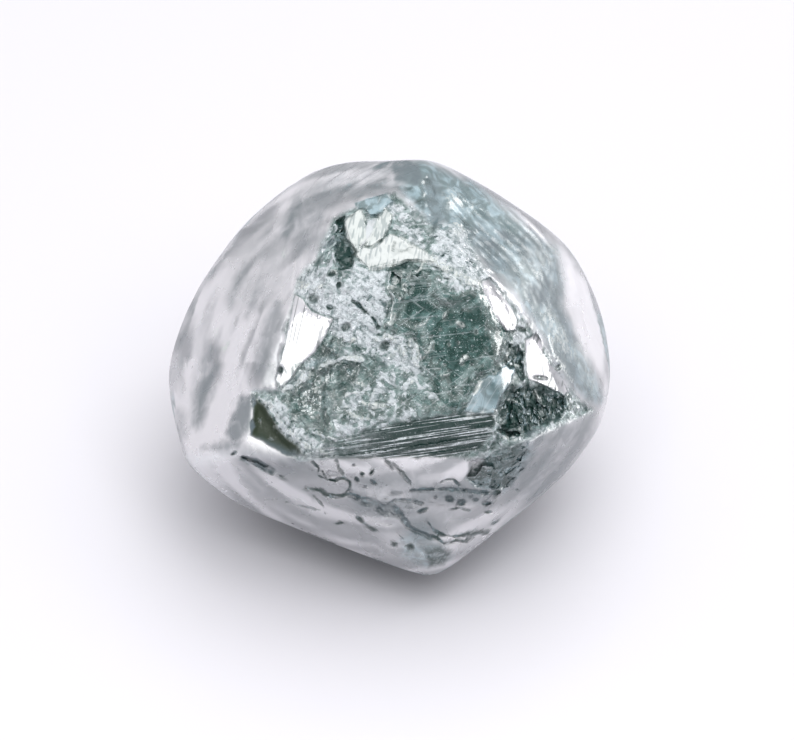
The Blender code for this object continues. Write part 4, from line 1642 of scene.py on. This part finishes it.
        # The streaks carry painted light on the limbs and painted shade low on the front, mixing the body's
        # dark and light colours
        clouds = 0.75 * zone.streaked + 0.25 * kit.noise(Cloud.BROAD).between(0.3, 0.7)
        colour = kit.blend(clouds.between(0.10, 0.80), self.body, self.body_light)
        sugar = kit.noise(Cloud.DEPTHS).between(0.42, 0.64)
        colour = kit.blend(zone.teal * 0.92, colour, kit.blend(sugar, self.turquoise, self.turquoise_light))
        # Painted shade and dull tone laid over the natural faces
        return kit.blend(self.dusk(), colour, self.dusky)

    def broken_colour(self, colour: bpy.types.NodeSocket) -> bpy.types.NodeSocket:
        """Lays the break over a colour: splinters, see-through glass, scratches and sugary crust.

        Args:
            colour: What lies beneath.

        Returns:
            The colour with the break over it.
        """
        kit, zone = self.kit, self.zone
        depths = 0.65 * kit.noise(Cloud.DEPTHS) + 0.35 * kit.facets(kit.large_facets)
        splintery = kit.blend(depths.between(0.38, 0.62), self.broken, self.broken_light)
        colour = kit.blend(zone.broken * (1.0 - 0.6 * zone.teal), colour, splintery)
        glass = kit.blend(depths.between(0.40, 0.70), self.window, self.window_light)
        colour = kit.blend(zone.window.between(0.1, 0.9), colour, glass)
        scratched = kit.lines(Strokes.LEVEL_SCRATCH).most(kit.lines(Strokes.RISING_SCRATCH))
        scratched = scratched.most(kit.lines(Strokes.FALLING_SCRATCH))
        colour = kit.blend(zone.broken * scratched * 0.28, colour, self.frosted)
        grains = 0.30 * kit.facets(kit.large_facets) + 0.20 * kit.facets(kit.small_facets)
        # Painted shading of the crust's grains: lighter on crests, darker in creases
        grains = grains + 0.5 * kit.noise(Cloud.GRAIN) + 0.35 * (zone.crest - 0.5)
        sugar = kit.blend(grains.between(0.28, 0.58), self.frost_shade, self.frosted)
        crust = self.crust()
        colour = kit.blend(crust * 0.95, colour, sugar)
        return kit.blend(kit.lines(Strokes.CRUST_STREAK) * crust * 0.45, colour, self.frost_shade)

    def marked_colour(self, colour: bpy.types.NodeSocket) -> bpy.types.NodeSocket:
        """Lays the ledges, the olive corner, the dark marks of painted shade, painted glints and sparkle,
        and the lit and shaded edges over a colour.

        Args:
            colour: What lies beneath.

        Returns:
            The colour with the marks over it.
        """
        kit, zone = self.kit, self.zone
        # Painted shade between the ledges, with lines of painted highlight along them
        ledges = kit.blend(kit.lines(Strokes.LEDGE_LIGHT), self.hollow, self.frosted)
        colour = kit.blend(zone.ledged * 0.95, colour, ledges)
        colour = kit.blend(zone.olive * 0.85, colour, self.olive)
        # Painted shade in chips, pits and cracks
        dark = zone.dark * kit.noise(Cloud.MOTTLE).between(0.32, 0.55, 0.5, 1.0)
        colour = kit.blend(dark, colour, self.hollow)
        # Painted glints in the dark hollows, in light turquoise
        colour = kit.blend(self.glints() * zone.dark * 0.6, colour, self.turquoise_light)
        rough = self.rough()
        # Painted highlight on crests and painted shade in creases of the break
        colour = kit.blend(zone.crest.between(0.66, 0.98) * rough * 0.6, colour, self.frosted)
        colour = kit.blend(zone.crest.between(0.34, 0.04) * rough * 0.6, colour, self.hollow)
        # Painted sparkle: tiny white highlights over the break
        painted_sparkle = kit.noise(Cloud.SPECK).between(0.70, 0.78)
        return kit.blend(painted_sparkle * rough * 0.8, colour, self.frosted)

    def colour(self) -> bpy.types.NodeSocket:
        """Body colour by zone, with the painted highlight of the panes, glints and rims laid over all the
        rest.
        """
        kit, zone = self.kit, self.zone
        colour = self.marked_colour(self.broken_colour(self.grown_colour()))
        colour = kit.blend(kit.lines(Strokes.TEAL_LINE) * zone.polished * zone.teal, colour, self.frosted)
        # Painted highlight of panes, glints, rims and bright patches, laid over all the rest
        lined = kit.lines(Strokes.PALE_LINE) * 0.55
        lined = lined.most(kit.noise(Cloud.MOTTLE).between(0.5, 0.7) * 0.3)
        chipped = zone.polished.between(0.0, 0.2).most(kit.noise(Cloud.CHIP).between(0.44, 0.52))
        return kit.blend(zone.pale * chipped, colour, kit.blend(lined, self.pale, self.frost_shade))

    def gloss(self) -> Value:
        """Roughness: low on panes and in the window, higher where frosted and on grown faces."""
        kit, zone = self.kit, self.zone
        dull = kit.facets(kit.small_facets).between(0.80, 0.72)
        rough = kit.noise(Cloud.BROAD).between(0.3, 0.7, 0.22, 0.36)
        rough = rough + 0.25 * dull * zone.broken * (1.0 - self.glass())
        rough = rough - 0.12 * zone.broken - 0.08 * self.glass() - 0.22 * zone.polished - 0.10 * zone.dark
        return rough.most(self.least_roughness)

    def relief(self) -> bpy.types.NodeSocket:
        """Fine bump: splinters where broken, grains where frosted, faint etching elsewhere."""
        kit, zone = self.kit, self.zone
        splinters = 2.6 * kit.shards(kit.small_facets) + 5.0 * kit.shards(kit.large_facets)
        rough = zone.broken * (1.0 - zone.polished) * (1.0 - 0.9 * self.glass())
        height = rough * (splinters + 1.4 * zone.frosted * kit.noise(Cloud.SPECK))
        height = height + 0.05 * kit.noise(Cloud.ETCHING)
        inputs = {"Strength": 1.0, "Distance": self.bump_distance * MM, "Height": height}
        return kit.add("ShaderNodeBump", {}, inputs).outputs["Normal"]


class Reach(Enum):
    """What a softbox lights: only its mirror images, or only matt surfaces."""

    MIRRORED = "mirrored"
    MATT = "matt"


@dataclass(frozen=True)
class Softbox:
    """A soft studio light: where it stands round the stone, its size and how bright it looks."""

    name: str
    bearing: float
    lean: float
    distance: float
    width: float
    height: float
    radiance: float
    reach: Reach


@dataclass
class Studio:
    """Pale floor, soft light and the camera."""

    offset: Vector
    picture_width: int = 794
    picture_height: int = 740
    pixels_per_mm: float = 62.9
    stone_pixel: tuple[float, float] = (386.5, 362.5)
    focal_length: float = 400.0
    sensor_width: float = 36.0
    nearest_seen: float = 0.01
    farthest_seen: float = 10.0
    floor_width: float = 900.0
    floor_colour: Colour = (0.61, 0.602, 0.634, 1.0)
    floor_roughness: float = 0.7
    floor_specular: float = 0.2
    world_colour: Colour = (0.985, 0.98, 1.0, 1.0)
    world_strength: float = 0.98
    front_strength: float = 0.12
    front_edge: tuple[float, float] = (0.84, 0.97)
    low_strength: float = 0.60
    low_edge: tuple[float, float] = (0.0, 0.5)
    softboxes: tuple[Softbox, ...] = (
        Softbox("overhead", 50, 75, 90, 90, 80, 1.8, Reach.MATT),
        Softbox("front_fill", 172, 60, 90, 80, 60, 3.8, Reach.MATT),
        Softbox("left", 251, 17, 90, 42, 36, 4.5, Reach.MIRRORED),
        Softbox("right", 71, 13, 90, 62, 44, 5.0, Reach.MIRRORED),
    )

    def build(self) -> None:
        """Sets up the floor, the light and the camera."""
        self.lay_floor()
        self.light_room()
        for softbox in self.softboxes:
            self.hang(softbox)
        self.place_camera()
        bpy.context.scene.view_settings.view_transform = "Standard"

    def lay_floor(self) -> None:
        """Lays a matt, whitish floor."""
        bpy.ops.object.select_all(action="DESELECT")
        bpy.ops.mesh.primitive_plane_add(size=self.floor_width * MM, location=(0.0, 0.0, 0.0))
        floor = bpy.context.active_object
        floor.name = "studio_floor"
        material = bpy.data.materials.new("pale_floor")
        material.use_nodes = True
        surface = material.node_tree.nodes["Principled BSDF"]
        surface.inputs["Base Color"].default_value = self.floor_colour
        surface.inputs["Roughness"].default_value = self.floor_roughness
        surface.inputs["Specular IOR Level"].default_value = self.floor_specular
        floor.data.materials.append(material)

    def light_room(self) -> None:
        """Surrounds the stone with white, darker where the looker stands and near the floor."""
        world = bpy.data.worlds.new("light_tent")
        world.use_nodes = True
        bpy.context.scene.world = world
        kit = NodeKit(world.node_tree, "Generated")
        toward = Value(kit, kit.vector_math("DOT_PRODUCT", kit.place, Side.FRONT.axes()[2]).outputs["Value"])
        height = Value(kit, kit.add("ShaderNodeSeparateXYZ", {}, {0: kit.place}).outputs["Z"])
        shade = toward.between(*self.front_edge, self.world_strength, self.front_strength)
        strength = shade * height.between(*self.low_edge, self.low_strength)
        kit.feed(world.node_tree.nodes["Background"], {"Color": self.world_colour, "Strength": strength})

    def hang(self, softbox: Softbox) -> None:
        """Adds one softbox, aimed at the stone.

        Args:
            softbox: Its place, size and brightness.
        """
        out = CrystalFace(softbox.bearing, softbox.lean, 0.0).normal()
        light = bpy.data.lights.new(softbox.name, "AREA")
        light.shape = "RECTANGLE"
        light.size = softbox.width * MM
        light.size_y = softbox.height * MM
        light.energy = softbox.radiance * math.pi * light.size * light.size_y
        lamp = bpy.data.objects.new(softbox.name, light)
        lamp.location = self.offset + out * softbox.distance * MM
        lamp.rotation_euler = out.to_track_quat("Z", "Y").to_euler()
        lamp.visible_camera = False
        lamp.visible_diffuse = softbox.reach is Reach.MATT
        lamp.visible_glossy = softbox.reach is Reach.MIRRORED
        lamp.visible_transmission = softbox.reach is Reach.MIRRORED
        bpy.context.scene.collection.objects.link(lamp)

    def place_camera(self) -> None:
        """Looks at the stone from the front, 40 degrees up, as near as its frame asks."""
        across, up, out = (Vector(axis) for axis in Side.FRONT.axes())
        right = (self.picture_width / 2.0 - self.stone_pixel[0]) / self.pixels_per_mm
        down = (self.picture_height / 2.0 - self.stone_pixel[1]) / self.pixels_per_mm
        distance = self.focal_length * self.picture_width / self.pixels_per_mm / self.sensor_width
        aim = self.offset + (across * right - up * down) * MM
        camera = bpy.data.cameras.new("camera")
        camera.lens = self.focal_length
        camera.sensor_width = self.sensor_width
        camera.clip_start = self.nearest_seen
        camera.clip_end = self.farthest_seen
        viewer = bpy.data.objects.new("camera", camera)
        viewer.location = aim + out * distance * MM
        viewer.rotation_euler = out.to_track_quat("Z", "Y").to_euler()
        bpy.context.scene.collection.objects.link(viewer)
        bpy.context.scene.camera = viewer


def main() -> None:
    """Builds the stone and the studio, in order."""
    logging.basicConfig(level=logging.INFO, format="%(name)s: %(message)s")
    rough = RoughStone()
    stone = rough.build()
    stone.data.materials.clear()
    stone.data.materials.append(CrystalFinish.build())
    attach(stone, BODY)
    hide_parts(NODE)
    log.info("%s: %d faces", stone.name, len(stone.data.polygons))
    Studio(rough.offset).build()
    log.info("studio: floor, light and camera")


if __name__ == "__main__":
    main()
